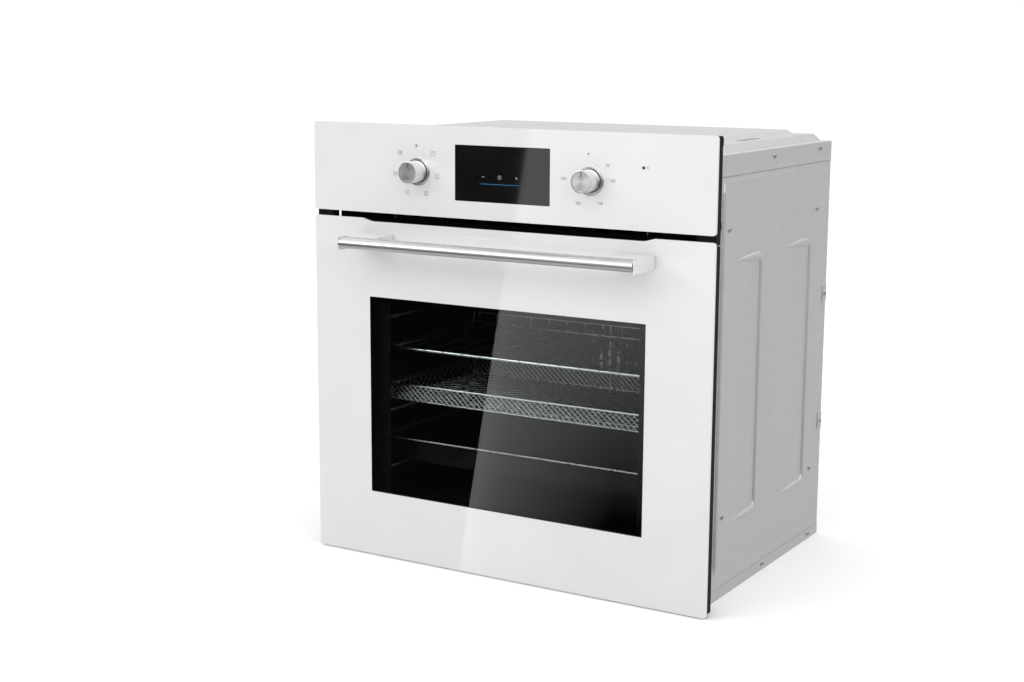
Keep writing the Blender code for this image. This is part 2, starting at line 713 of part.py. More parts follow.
def pan(name, level, height, floor_half, finish_name):
    """An open pan whose rim rests on the rails of one shelf level, with its floor below them."""
    rim = level + WIRE / 2 + GAP + SHEET
    near, far = SHELF_FRONT + 0.010, SHELF_BACK - 0.010

    def build(shape):
        add_cube(shape, (-floor_half, floor_half), (near, far), (rim - height, rim))
        shape.normal_update()
        lid = [face for face in shape.faces if face.normal.z > 0.9]
        reach = SHELF_HALF - floor_half
        rim_edges = lid[0].edges[:]
        bmesh.ops.delete(shape, geom=lid, context="FACES_ONLY")
        made = bmesh.ops.extrude_edge_only(shape, edges=rim_edges)["geom"]
        for vertex in (item for item in made if isinstance(item, bmesh.types.BMVert)):
            vertex.co.x += math.copysign(reach, vertex.co.x)
            vertex.co.y += math.copysign(0.008, vertex.co.y - depth_y((near + far) / 2))

    return sheet_shell(fill_mesh(name, build, finish_name), SHEET, 1)


def wire_rack():
    """Wire shelf on the upper level."""
    return lattice("wire_rack", RACK_LEVEL, WIRE, 12, WIRE, "chromed_wire")


def fry_basket():
    """Shallow open basket on the middle level."""
    height, floor_half = 0.022, 0.214
    return pan("fry_basket", BASKET_LEVEL, height, floor_half, "chromed_wire")


def baking_tray():
    """Enamelled tray on the lower level."""
    height, floor_half = 0.030, 0.212
    return pan("baking_tray", TRAY_LEVEL, height, floor_half, "black_enamel")


def door_seal():
    """Gasket round the cavity's mouth, which the inner glass closes on."""
    outer, inner, low, high, width = 0.249, 0.240, 0.065, 0.425, 0.009
    loops = [rectangle((-outer, low), (outer, high), 0.016)]
    loops.append(rectangle((-inner, low + width), (inner, high - width), 0.010))
    plate("door_seal", "Y", loops, DOOR_BACK + 0.0007, CLEAR_DEPTH - GAP, "seal_rubber")


def terminal_box():
    """Mains terminal box on the back of the casing, with a cable entry in its underside."""
    limits = ((0.120, 0.200), (BODY_DEPTH + GAP, BODY_DEPTH + TERMINAL_BOX_DEPTH), (0.440, 0.510))
    body = soften(box("terminal_box", *limits, "black_plastic"), 0.003)
    entry = ((0.152, 0.168), (BODY_DEPTH + 0.004, BODY_DEPTH + 0.015), (0.430, 0.462))
    boolean(body, boxes("cable_entry", [entry]))


def hinge_receiver(name, side):
    """Channel under the cavity that takes the hinge's arm."""
    half, front, back, low, high = 0.0083, CASING_FRONT + SHEET + GAP, 0.100, 0.0082, 0.034
    limits = (span(side, HINGE_X - half, HINGE_X + half), (front, back), (low, high))
    body = box(name, *limits, "galvanised_steel")
    inner_half, floor, over = 0.0065, 0.0097, 0.010
    inside = span(side, HINGE_X - inner_half, HINGE_X + inner_half)
    room = (inside, (front - over, back + over), (floor, high + over))
    return boolean(body, boxes(f"{name}_room", [room]))


def hinge_arm(name, side):
    """Arm from the oven's frame to the hinge pin, with an eye round the pin."""
    eye, half_bar, end = 0.0072, 0.006, 0.095
    turn = math.degrees(math.asin(half_bar / eye))
    outline = arc((PIVOT_DEPTH, PIVOT_Z), eye, turn, 360 - turn, 14)
    outline += [(end, PIVOT_Z - half_bar), (end, PIVOT_Z + half_bar)]
    loops = [outline, circle((PIVOT_DEPTH, PIVOT_Z), KNOB_SOCKET, 12)]
    start, stop = span(side, HINGE_X - 0.003, HINGE_X + 0.003)
    return plate(name, "X", loops, start, stop, "galvanised_steel")


def hinges():
    """The fixed parts of both door hinges."""
    both_sides(hinge_receiver, "hinge_receiver")
    both_sides(hinge_arm, "hinge_arm")


def control_panel_glass():
    """Glass of the control panel, with holes for the two knobs and the pilot lamp."""
    loops = [rectangle((-HALF_WIDTH, PANEL_BOTTOM), (HALF_WIDTH, FRONT_TOP), CORNER_RADIUS)]
    loops += [circle((side * KNOB_X, KNOB_Z), GLASS_HOLE, 32) for side in (-1, 1)]
    loops.append(circle((PILOT_X, PILOT_Z), 0.0022, 12))
    plate("control_panel_glass", "Y", loops, 0.0, GLASS, "white_glass")


def control_panel_housing():
    """Black housing behind the panel glass: a rim, a tub with a back, and lugs over the door posts."""
    half, low, high = HALF_WIDTH - 0.001, PANEL_BOTTOM + 0.001, FRONT_TOP - 0.001
    rim_width, overlap, wall, spindle_hole = 0.012, 0.003, 0.002, 0.008
    rim = box("control_panel_housing", (-half, half), (GLASS + GAP, EDGE_DEPTH), (low, high), "black_plastic")
    inner = (-half + rim_width, half - rim_width), (0.0, 0.020), (low + rim_width, high - rim_width)
    boolean(rim, boxes("rim_opening", [inner]))
    tub_x, tub_z = (-half + INSET, half - INSET), (low + INSET, high - INSET)
    back = CLEAR_DEPTH - 0.0003
    limits = (tub_x, (EDGE_DEPTH - overlap, back), tub_z)
    boolean(rim, open_box("housing_tub", *limits, [(0, -1, 0)], wall, -1, None), "UNION")
    lugs, holes = [], []
    for side in (-1, 1):
        lugs.append((span(side, LUG_INNER, half - LUG_INSET), LUG_DEPTHS, (LUG_BOTTOM, low + wall)))
        holes.append((side * KNOB_X, KNOB_Z, spindle_hole, EDGE_DEPTH, back + wall))
    boolean(rim, boxes("gap_lugs", lugs), "UNION")
    boolean(rim, rods("spindle_holes", "Y", holes))


def display_module():
    """Clock and timer display with its touch sensors, behind the panel glass."""
    back, edge = 0.018, 0.001
    limits = ((-DISPLAY_HALF, DISPLAY_HALF), (GLASS + GAP, back), (DISPLAY_LOW, DISPLAY_HIGH))
    soften(box("display_module", *limits, "black_plastic"), edge, 1)


def pilot_lamp():
    """Light pipe of the heating lamp, in its hole in the panel glass."""
    radius, back = 0.0018, -0.014
    profile = [(0.0, 0.0), (radius, 0.0), (radius, back), (0.0, back)]
    turned("pilot_lamp", profile, PILOT_X, 0.0, PILOT_Z, "red_lens", 12)


def switch_body(name, side, half, length):
    """Body of a rotary control behind the panel carrier, with a blind hole for its spindle."""
    x = side * KNOB_X
    front = CASING_FRONT + SHEET + GAP
    limits = ((x - half, x + half), (front, front + length), (KNOB_Z - half, KNOB_Z + half))
    body = soften(box(name, *limits, "white_plastic"), 0.002)
    hole = (x, KNOB_Z, KNOB_SOCKET, CASING_FRONT - 0.005, CASING_FRONT + 0.014)
    return boolean(body, rods(f"{name}_bore", "Y", [hole]))


def knob_bezel(name, side):
    """Ring round a knob: a flat lip on the glass, and a sleeve that passes through it."""
    lip, seat, sleeve, back, chamfer = 0.0012, 0.0003, 0.0162, -0.012, 0.0008
    profile = [(BEZEL_INNER, lip), (BEZEL_OUTER - chamfer, lip), (BEZEL_OUTER, lip / 2)]
    profile += [(BEZEL_OUTER, seat), (sleeve, seat), (sleeve, back), (BEZEL_INNER, back), (BEZEL_INNER, lip)]
    return turned(name, profile, side * KNOB_X, 0.0, KNOB_Z, "brushed_aluminium", 32)


def knob(name, side):
    """Push-in knob: a cup with a boss that slides and drives on the spindle."""
    reach, back, wall, cap, boss = KNOB_REACH, -0.009, 0.0015, 0.0022, 0.0060
    profile = [(0.0, reach), (KNOB_RADIUS - 0.0008, reach), (KNOB_RADIUS, reach - 0.0008)]
    profile += [(KNOB_RADIUS, back), (KNOB_RADIUS - wall, back), (KNOB_RADIUS - wall, reach - cap)]
    profile += [(boss, reach - cap), (boss, back), (KNOB_SOCKET, back), (KNOB_SOCKET, reach - cap)]
    profile.append((0.0, reach - cap))
    return turned(name, profile, side * KNOB_X, 0.0, KNOB_Z, "brushed_aluminium")


def spindle(name, side):
    """Spindle of a rotary control, from the knob's boss to the switch."""
    start, end = 0.002, -CASING_FRONT - 0.012
    profile = [(0.0, start), (SPINDLE_RADIUS, start), (SPINDLE_RADIUS, end), (0.0, end)]
    return turned(name, profile, side * KNOB_X, 0.0, KNOB_Z, "stainless_steel", 12)


def door_outer_glass():
    """White front glass of the door, with a shallow finger recess in its top edge."""
    recess, low_half, high_half = 0.004, 0.203, 0.218
    outline = rectangle((-HALF_WIDTH, DOOR_BOTTOM), (HALF_WIDTH, DOOR_TOP), CORNER_RADIUS)
    dip = [(high_half, DOOR_TOP), (low_half, DOOR_TOP - recess)]
    dip += [(-x, z) for x, z in dip[::-1]]
    outline[8:8] = dip
    return plate("door_outer_glass", "Y", [outline], 0.0, GLASS, "white_glass")


def door_panes():
    """Middle and inner panes of the door."""
    panes = (
        ("door_middle_glass", 0.2385, 0.040, 0.4385, 0.0125, 0.0155),
        ("door_inner_glass", 0.2685, 0.0365, 0.4390, 0.0235, DOOR_BACK),
    )
    made = []
    for name, half, low, high, start, end in panes:
        loop = rectangle((-half, low), (half, high), 0.004)
        made.append(plate(name, "Y", [loop], start, end, "clear_glass"))
    return made


def door_post(name, side):
    """Side post of the door, wide behind the front glass and narrower further in."""
    inner, outer = 0.270, HALF_WIDTH - 0.001
    step = outer - INSET - 0.003
    loop = [(inner, GLASS + GAP), (outer, GLASS + GAP), (outer, EDGE_DEPTH), (step, EDGE_DEPTH)]
    loop += [(step, DOOR_BACK), (inner, DOOR_BACK)]
    return plate(name, "Z", [[(side * x, d) for x, d in loop]], POST_LOW, POST_HIGH, "black_plastic")


def door_rail(name, half, low, high, open_up):
    """Cross rail of the door, a channel between the posts that opens towards the panes."""
    wall = 0.0015
    start, end = GLASS + GAP, DOOR_BACK
    web, lips = (low, high) if open_up else (high, low)
    inside = web + wall if open_up else web - wall
    loop = [(start, lips), (start, web), (end, web), (end, lips), (end - wall, lips)]
    loop += [(end - wall, inside), (start + wall, inside), (start + wall, lips)]
    return plate(name, "X", [loop], -half, half, "black_plastic")


def hinge_channel(name, side):
    """Channel in the door that holds the hinge pin and leaves the arm room to swing."""
    half, wall = 0.0115, 0.0012
    front, back, low, high, over = GLASS + 2 * GAP, 0.0228, 0.007, 0.200, 0.010
    limits = (span(side, HINGE_X - half, HINGE_X + half), (front, back), (low, high))
    body = box(name, *limits, "galvanised_steel")
    inside = span(side, HINGE_X - half + wall, HINGE_X + half - wall)
    room = (inside, (front + wall, back + over), (low - over, high + over))
    boolean(body, boxes(f"{name}_room", [room]))
    hole = (PIVOT_DEPTH, PIVOT_Z, KNOB_SOCKET, *span(side, HINGE_X - 2 * half, HINGE_X + 2 * half))
    return boolean(body, rods(f"{name}_bore", "X", [hole], 12))


def hinge_pin(name, side):
    """Pin through a hinge channel and the arm's eye."""
    ends = span(side, HINGE_X - PIN_HALF, HINGE_X + PIN_HALF)
    pin = rods(name, "X", [(PIVOT_DEPTH, PIVOT_Z, SPINDLE_RADIUS, *ends)], 12)
    return as_part(pin, "stainless_steel")


def handle_bar():
    """Bar of the handle: a rounded nose in front and a flat back."""
    low, high = HANDLE_Z - HANDLE_NOSE, HANDLE_Z + HANDLE_NOSE
    nose_depth = HANDLE_NOSE - HANDLE_REACH
    nose = arc((nose_depth, HANDLE_Z), HANDLE_NOSE, 90, 270, 10)
    loop = [*nose, (-HANDLE_BACK, low), (-HANDLE_BACK, high)]
    half = HANDLE_HALF - HANDLE_CAP - GAP
    return plate("handle_bar", "X", [loop], -half, half, "brushed_aluminium")


def handle_bracket(name, side):
    """End of the handle: a foot on the door, and a cap over the bar's end."""
    cap_inner, foot_front, cap_front = HANDLE_HALF - HANDLE_CAP, -HANDLE_BACK + GAP, 0.001 - HANDLE_REACH
    loop = [(BRACKET_INNER, -GAP), (HANDLE_HALF, -GAP), (HANDLE_HALF, cap_front), (cap_inner, cap_front)]
    loop += [(cap_inner, foot_front), (BRACKET_INNER, foot_front)]
    low, high = HANDLE_Z - BRACKET_DROP, HANDLE_Z + BRACKET_RISE
    return plate(name, "Z", [[(side * x, d) for x, d in loop]], low, high, "white_plastic")


def door():
    """Every piece that swings with the door."""
    pieces = [door_outer_glass(), *door_panes(), handle_bar()]
    pieces += both_sides(door_post, "door_post")
    pieces.append(door_rail("door_top_rail", TOP_RAIL_HALF, *TOP_RAIL_Z, False))
    pieces.append(door_rail("door_bottom_rail", BOTTOM_RAIL_HALF, *BOTTOM_RAIL_Z, True))
    for make, base_name in ((hinge_channel, "hinge_channel"), (hinge_pin, "hinge_pin")):
        pieces += both_sides(make, base_name)
    pieces += both_sides(handle_bracket, "handle_bracket")
    carry("door_hinge_axis", (0.0, depth_y(PIVOT_DEPTH), PIVOT_Z), pieces)


def casing():
    """The fixed sheet metal round the oven."""
    base_plate()
    both_sides(side_panel, "side_panel")
    for make in (top_cover, rear_cover, front_frame, panel_carrier, air_outlet_grille, air_duct):
        make()
    terminal_box()


def cavity():
    """The liner and what is fixed in or round it."""
    for make in (cavity_shell, insulation_blanket, fan_baffle, ring_element, grill_element, bottom_element):
        make()
    for make in (fan_motor, cooling_fan_motor, lamp, temperature_probe, shelf_ladders, door_seal, hinges):
        make()


def controls():
    """The control panel with its fixed pieces, and each knob on its spindle."""
    for make in (control_panel_glass, control_panel_housing, display_module, pilot_lamp):
        make()
    switch_body("selector_switch", -1, *SELECTOR_BODY)
    switch_body("thermostat_body", 1, *THERMOSTAT_BODY)
    both_sides(knob_bezel, "knob_bezel")
    for base_name, side in (("selector", -1), ("thermostat", 1)):
        pair = [spindle(f"{base_name}_spindle", side), knob(f"{base_name}_knob", side)]
        carry(f"{base_name}_axis", (side * KNOB_X, FRONT_Y, KNOB_Z), pair)


def shelves():
    """The three shelves that slide on the ladders, and the two fans."""
    for make in (wire_rack, fry_basket, baking_tray, convection_fan_wheel, cooling_fan_drum):
        make()


def smooth_round_pieces():
    """Shades every part smooth up to its sharp edges."""
    for obj in PARTS.objects:
        if obj.type == "MESH":
            obj.data.shade_smooth()
            obj.data.set_sharp_from_angle(angle=math.radians(35))


for assembly in (casing, cavity, controls, shelves, door, smooth_round_pieces):
    assembly()
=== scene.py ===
"""Looks of the built-in wall oven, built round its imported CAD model.

Lengths are in metres. A depth is measured backwards from the front face of the glass, X runs
across the front and Z is up. The door's pieces ride on the door, each knob's on its knob, each
shelf's on that shelf, and the rest on the chassis.
"""

import json
import math

import bmesh
import bpy
from mathutils import Matrix, Vector

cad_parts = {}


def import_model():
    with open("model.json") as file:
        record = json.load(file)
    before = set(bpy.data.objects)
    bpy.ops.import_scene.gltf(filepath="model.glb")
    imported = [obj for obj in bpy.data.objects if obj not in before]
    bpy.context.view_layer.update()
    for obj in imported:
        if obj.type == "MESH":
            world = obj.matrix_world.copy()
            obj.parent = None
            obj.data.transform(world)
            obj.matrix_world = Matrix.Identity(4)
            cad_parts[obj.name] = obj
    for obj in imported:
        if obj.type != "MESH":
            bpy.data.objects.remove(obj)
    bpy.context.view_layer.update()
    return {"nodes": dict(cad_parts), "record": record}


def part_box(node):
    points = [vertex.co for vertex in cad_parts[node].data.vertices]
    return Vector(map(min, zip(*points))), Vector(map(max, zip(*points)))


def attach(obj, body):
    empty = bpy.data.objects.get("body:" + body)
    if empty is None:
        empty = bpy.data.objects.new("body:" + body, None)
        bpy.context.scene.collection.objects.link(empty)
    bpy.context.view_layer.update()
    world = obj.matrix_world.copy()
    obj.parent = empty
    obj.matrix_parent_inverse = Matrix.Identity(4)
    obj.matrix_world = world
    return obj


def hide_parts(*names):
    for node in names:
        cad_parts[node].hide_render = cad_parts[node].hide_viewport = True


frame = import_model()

NODES = frame["nodes"]
SIDES = (-1, 1)
SIDE_NAMES = {-1: "left", 1: "right"}

# Sizes that come from the CAD model.
DOOR_LOW, DOOR_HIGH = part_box("door_outer_glass")
PANEL_LOW, PANEL_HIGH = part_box("control_panel_glass")
CASING_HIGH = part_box("top_cover")[1]
RACK_LOW, RACK_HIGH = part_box("wire_rack")
BASKET_LOW, BASKET_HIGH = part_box("fry_basket")
TRAY_LOW, TRAY_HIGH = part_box("baking_tray")
LADDER_LOW, LADDER_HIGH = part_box("shelf_ladder_right")
FRONT_Y = DOOR_LOW.y
GLASS = DOOR_HIGH.y - DOOR_LOW.y
CASING_HALF = CASING_HIGH.x
BACK_DEPTH = CASING_HIGH.y - FRONT_Y

# Door.
CORNER_RADIUS = 0.004
CORNER_STEPS = 5
CORNER_POINTS = CORNER_STEPS + 1
EDGE_BEVEL = 0.0005
FIT = 0.0001
WINDOW_HALF = 0.2075
WINDOW_Z = (0.0916, 0.3627)
WINDOW_CORNER = 0.0012
RECESS_HALVES = (0.203, 0.218)
RECESS = 0.004
BORDER_HALF = 0.1895
BORDER_Z = (0.078, 0.376)
BORDER_CORNER = 0.006
GROOVE = 0.0005
GROOVE_STEP = 6
NOSE_STEPS = 28
BRACKET_BEVEL = 0.0011

# Control panel.
DISPLAY_HALF = 0.0705
DISPLAY_Z = (0.4995, 0.5715)
DISPLAY_CORNER = 0.001
KNOB_X = 0.128
KNOB_Z = 0.5345
KNOB_RADIUS = 0.014
KNOB_REACH = 0.025
KNOB_HOLE = 0.0166
PILOT_X = 0.2006
PILOT_Z = 0.5532
PILOT_HOLE = 0.0020
TURNED_STEPS = 96

# Printed marks.
INK = 0.0001
SYMBOL = 0.0056
SYMBOL_LINE = 0.00042
DIGIT = 0.0052
MARK = 0.0036
MARK_LINE = 0.0005
MARK_Z = 0.532
CLOCK_RADIUS = 0.0025
BLUE_LINE = (0.0585, 0.00045)
BLUE_LINE_X = -0.00325
BLUE_LINE_Z = 0.523
BLUE_DOT = (0.1249, 0.5671)
BLUE_DOT_RADIUS = 0.0013

# Racks and shelves.
SHELF_LEVELS = (0.110, 0.153, 0.191, 0.229, 0.281, 0.324)
RAIL_X = 0.222
POST_X = 0.2314
LADDER_WIRE = 0.0024
RACK_FRAME = 0.0025
RACK_WIRE = 0.0014
RACK_PITCH = 0.030
RIM_WIRE = 0.0018
MESH_WIRE = 0.0008
MESH_PITCH = 0.0087
MESH_SLOPE = 0.88

# Casing.
RIB_WIDTH = 0.010
RIB_HEIGHT = 0.0030
RIB_TAPER = 0.050
CHANNEL_DEPTH = 0.0665
SCREW_RADIUS = 0.0038
SCREW_HEIGHT = 0.0018
TAB_DEPTH = 0.4225
TAB_HEIGHTS = (0.354, 0.170)
TAB_SHEET = 0.0012

# Studio.
WORLD_DARK = 0.015
WORLD_BELOW = 0.60
WORLD_BEHIND = 0.60
WORLD_ABOVE = 1.25
WORLD_SEEN = 1.05
FLOOR_HALF = 9.0
CARD_STRENGTH = 1.15
CARD_Y = -3.2
CARD_LOW = -1.6
CARD_HIGH = 2.5
CARD_RIGHT = -0.3
CARD_SLANT = 0.1676
LENS = 58.39
SENSOR = 36.0
CAMERA_SPOT = (1.100, -1.996, 0.704)
CAMERA_TURN = 31.04
CAMERA_DIP = 10.27
CAMERA_ROLL = 0.30

SHARP_ANGLE = math.radians(35)
UPRIGHT = Matrix.Identity(4)


def depth_y(depth):
    """Y of a depth behind the front face of the glass."""
    return FRONT_Y + depth


def at(x, depth, z):
    """Point from its X, its depth and its Z."""
    return Vector((x, depth_y(depth), z))


def grey(value):
    """Opaque grey."""
    return (value, value, value, 1.0)


# Materials


def node(tree, kind, inputs=(), **settings):
    """A new shader node. An input is a plain value or another node's output."""
    made = tree.nodes.new("ShaderNode" + kind)
    for setting, value in settings.items():
        setattr(made, setting, value)
    for socket, value in dict(inputs).items():
        if isinstance(value, bpy.types.NodeSocket):
            tree.links.new(value, made.inputs[socket])
        else:
            made.inputs[socket].default_value = value
    return made


def maths(tree, operation, first, second=0.0, **settings):
    """Output of a maths node."""
    return node(tree, "Math", {0: first, 1: second}, operation=operation, **settings).outputs[0]


def grain(tree, scale, stretch=(1.0, 1.0, 1.0)):
    """Noise fixed to the object, stretched along some of its axes."""
    place = node(tree, "TexCoord").outputs["Object"]
    stretched = node(tree, "Mapping", {"Vector": place, "Scale": stretch}).outputs[0]
    return node(tree, "TexNoise", {"Vector": stretched, "Scale": scale, "Detail": 3.0}).outputs[0]


def ranged(tree, value, low, high, start=0.3, end=0.7):
    """The value mapped from start..end to low..high."""
    limits = {"From Min": start, "From Max": end, "To Min": low, "To Max": high}
    return node(tree, "MapRange", {"Value": value, **limits}).outputs[0]


def blended(tree, factor, first, second):
    """Colour between two colours."""
    return node(tree, "Mix", {0: factor, 6: first, 7: second}, data_type="RGBA").outputs[2]


def relief(tree, shader, height, distance):
    """Bumps the surface by a height map."""
    bump = node(tree, "Bump", {"Height": height, "Distance": distance, "Strength": 1.0})
    tree.links.new(bump.outputs[0], shader.inputs["Normal"])


def blank_material(name):
    """A new material, its node tree and its main shader."""
    material = bpy.data.materials.new(name)
    material.use_nodes = True
    return material, material.node_tree, material.node_tree.nodes["Principled BSDF"]


def set_sockets(shader, sockets):
    """Sets plain values on a shader's own sockets."""
    for socket, value in sockets.items():
        shader.inputs[socket].default_value = value


def surface(name, colours, rough, scale, stretch=(1.0, 1.0, 1.0), bump=0.0, **sockets):
    """A material whose colour and roughness wander a little with one grain."""
    material, tree, shader = blank_material(name)
    height = grain(tree, scale, stretch)
    colour = blended(tree, ranged(tree, height, 0.0, 1.0), *colours)
    tree.links.new(colour, shader.inputs["Base Color"])
    tree.links.new(ranged(tree, height, *rough), shader.inputs["Roughness"])
    if bump:
        relief(tree, shader, height, bump)
    set_sockets(shader, {socket.replace("_", " "): value for socket, value in sockets.items()})
    return material


def clear_glass(name, tints, ior):
    """Glass that lets the lamps' light through. Its tint wanders very slightly."""
    material, tree, shader = blank_material(name)
    colour = blended(tree, ranged(tree, grain(tree, 6.0), 0.0, 1.0), *tints)
    tree.links.new(colour, shader.inputs["Base Color"])
    set_sockets(shader, {"Roughness": 0.0, "IOR": ior, "Transmission Weight": 1.0})
    shadow = node(tree, "LightPath").outputs["Is Shadow Ray"]
    through = node(tree, "BsdfTransparent")
    both = node(tree, "MixShader", {0: shadow, 1: shader.outputs[0], 2: through.outputs[0]})
    tree.links.new(both.outputs[0], tree.nodes["Material Output"].inputs["Surface"])
    return material


def galvanised(name):
    """Zinc-coated sheet: faint crystals, long rolling streaks, soft metal gloss."""
    material, tree, shader = blank_material(name)
    place = node(tree, "TexCoord").outputs["Object"]
    crystals = node(tree, "TexVoronoi", {"Vector": place, "Scale": 130.0}).outputs["Color"]
    crystal = node(tree, "RGBToBW", {"Color": crystals}).outputs[0]
    streaks = grain(tree, 22.0, (1.0, 1.0, 0.08))
    factor = maths(tree, "ADD", crystal, streaks)
    colour = blended(tree, ranged(tree, factor, 0.0, 1.0, 0.5, 1.5), grey(0.60), grey(0.635))
    tree.links.new(colour, shader.inputs["Base Color"])
    tree.links.new(ranged(tree, crystal, 0.42, 0.48, 0.0, 1.0), shader.inputs["Roughness"])
    set_sockets(shader, {"Metallic": 0.75})
    relief(tree, shader, streaks, 0.00001)
    return material


def enamel(name):
    """Black stove enamel with fine pale specks under a glassy surface."""
    material, tree, shader = blank_material(name)
    place = node(tree, "TexCoord").outputs["Object"]
    cells = node(tree, "TexVoronoi", {"Vector": place, "Scale": 700.0}).outputs["Distance"]
    specks = ranged(tree, cells, 1.0, 0.0, 0.04, 0.14)
    colour = blended(tree, specks, grey(0.0022), grey(0.016))
    tree.links.new(colour, shader.inputs["Base Color"])
    tree.links.new(ranged(tree, grain(tree, 90.0), 0.16, 0.24), shader.inputs["Roughness"])
    relief(tree, shader, grain(tree, 140.0), 0.00003)
    set_sockets(shader, {"Specular IOR Level": 0.25})
    return material


def brushed_round(name):
    """Aluminium brushed in circles round the object's own Y axis."""
    material, tree, shader = blank_material(name)
    place = node(tree, "TexCoord").outputs["Object"]
    parts = node(tree, "SeparateXYZ", {"Vector": place}).outputs
    squares = [maths(tree, "POWER", parts[axis], 2.0) for axis in ("X", "Z")]
    radius = maths(tree, "SQRT", maths(tree, "ADD", *squares))
    noise = {"W": radius, "Scale": 5200.0, "Detail": 2.0}
    rings = node(tree, "TexNoise", noise, noise_dimensions="1D").outputs[0]
    colour = blended(tree, ranged(tree, rings, 0.0, 1.0), grey(0.70), grey(0.88))
    tree.links.new(colour, shader.inputs["Base Color"])
    tree.links.new(ranged(tree, rings, 0.22, 0.36), shader.inputs["Roughness"])
    tangent = node(tree, "Tangent", direction_type="RADIAL", axis="Y")
    tree.links.new(tangent.outputs[0], shader.inputs["Tangent"])
    set_sockets(shader, {"Metallic": 1.0, "Anisotropic": 0.6})
    return material


def lit_lens(name, tints, strength):
    """A small coloured lens that glows a little."""
    material, tree, shader = blank_material(name)
    colour = blended(tree, ranged(tree, grain(tree, 900.0), 0.0, 1.0), *tints)
    tree.links.new(colour, shader.inputs["Base Color"])
    tree.links.new(colour, shader.inputs["Emission Color"])
    set_sockets(shader, {"Emission Strength": strength, "Roughness": 0.25, "Coat Weight": 0.6})
    return material


# One material for each slot of the record.
FINISHES = {
    "white_glass": surface(
        "white_glass",
        (grey(0.675), grey(0.695)),
        (0.015, 0.03),
        14.0,
        Coat_Weight=0.6,
        Coat_Roughness=0.005,
    ),
    "white_plastic": surface(
        "white_plastic", (grey(0.66), grey(0.70)), (0.30, 0.38), 420.0, bump=0.000008
    ),
    "black_plastic": surface(
        "black_plastic",
        (grey(0.004), grey(0.008)),
        (0.50, 0.62),
        900.0,
        bump=0.00003,
        Specular_IOR_Level=0.12,
    ),
    "clear_glass": clear_glass("clear_glass", ((0.93, 0.95, 0.94, 1), (0.95, 0.97, 0.96, 1)), 1.12),
    "galvanised_steel": galvanised("galvanised_steel"),
    "black_enamel": enamel("black_enamel"),
    "chromed_wire": surface(
        "chromed_wire", (grey(0.88), grey(0.97)), (0.14, 0.24), 160.0, bump=0.00001, Metallic=1.0
    ),
    "stainless_steel": surface(
        "stainless_steel", (grey(0.48), grey(0.60)), (0.24, 0.36), 300.0, (1.0, 0.1, 1.0), Metallic=1.0
    ),
    "brushed_aluminium": surface(
        "brushed_aluminium",
        (grey(0.64), grey(0.74)),
        (0.30, 0.42),
        900.0,
        (0.01, 1.0, 1.0),
        0.00001,
        Metallic=1.0,
        Anisotropic=0.5,
    ),
    "heating_tube": surface(
        "heating_tube",
        ((0.10, 0.085, 0.075, 1), (0.22, 0.19, 0.17, 1)),
        (0.40, 0.60),
        110.0,
        Metallic=0.7,
    ),
    "glass_wool": surface(
        "glass_wool", ((0.66, 0.60, 0.42, 1), (0.82, 0.78, 0.62, 1)), (0.85, 1.0), 260.0, bump=0.0012
    ),
    "white_ceramic": surface(
        "white_ceramic", (grey(0.70), grey(0.80)), (0.35, 0.50), 300.0, bump=0.00004
    ),
    "motor_steel": surface("motor_steel", (grey(0.30), grey(0.40)), (0.35, 0.50), 200.0, Metallic=0.9),
    "seal_rubber": surface("seal_rubber", (grey(0.012), grey(0.030)), (0.60, 0.80), 500.0, bump=0.0001),
    "red_lens": lit_lens("red_lens", ((0.035, 0.003, 0.002, 1), (0.05, 0.004, 0.003, 1)), 0.02),
}

ROUND_BRUSHED = brushed_round("round_brushed_aluminium")
WINDOW_GLASS = clear_glass("window_glass", ((0.88, 0.90, 0.90, 1), (0.90, 0.92, 0.91, 1)), 1.5)
DISPLAY_GLASS = surface("display_glass", (grey(0.004), grey(0.007)), (0.02, 0.05), 20.0, Coat_Weight=0.6)
# Black print; also the black plates that paint the shade inside the back cover's slots.
BLACK_PRINT_AND_SHADE = surface(
    "black_print_and_shade", (grey(0.0015), grey(0.003)), (0.55, 0.75), 700.0, Specular_IOR_Level=0.1
)
# Chrome darkened into painted shade, for the ladders in the cavity's dark sides.
SHADED_CHROME_WIRE = surface("shaded_chrome_wire", (grey(0.10), grey(0.16)), (0.28, 0.38), 160.0, Metallic=1.0)
# Grey print; also the grey plates that paint the shade inside the lid's slots.
GREY_PRINT_AND_SHADE = surface("grey_print_and_shade", (grey(0.13), grey(0.18)), (0.30, 0.45), 1500.0)
# Dark print for the knobs' pointers; also the dark crosses that paint the shade in the screws' recesses.
DARK_PRINT_AND_SHADE = surface("dark_print_and_shade", (grey(0.03), grey(0.06)), (0.35, 0.50), 1500.0)
PALE_PRINT = surface("pale_print", (grey(0.42), grey(0.50)), (0.35, 0.50), 1500.0)
BLUE_LIGHT = lit_lens("blue_light", ((0.02, 0.15, 0.36, 1), (0.03, 0.20, 0.45, 1)), 0.35)


def paint_cad_nodes():
    """Gives every CAD node the procedural material of its slot in the record."""
    for part in frame["record"]["subparts"]:
        obj = NODES[part["node"]]
        obj.data.materials.clear()
        obj.data.materials.append(FINISHES[part["material_slot"]])


# Making pieces


def place_piece(name, data, body, slot, replaced=(), finish=None, origin=(0, 0, 0)):
    """Puts a piece in the scene, with its material, on its body."""
    piece = bpy.data.objects.new(name, data)
    piece.location = origin
    bpy.context.scene.collection.objects.link(piece)
    for material in finish or (FINISHES[slot],):
        data.materials.append(material)
    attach(piece, body)
    if replaced:
        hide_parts(*replaced)
    return piece


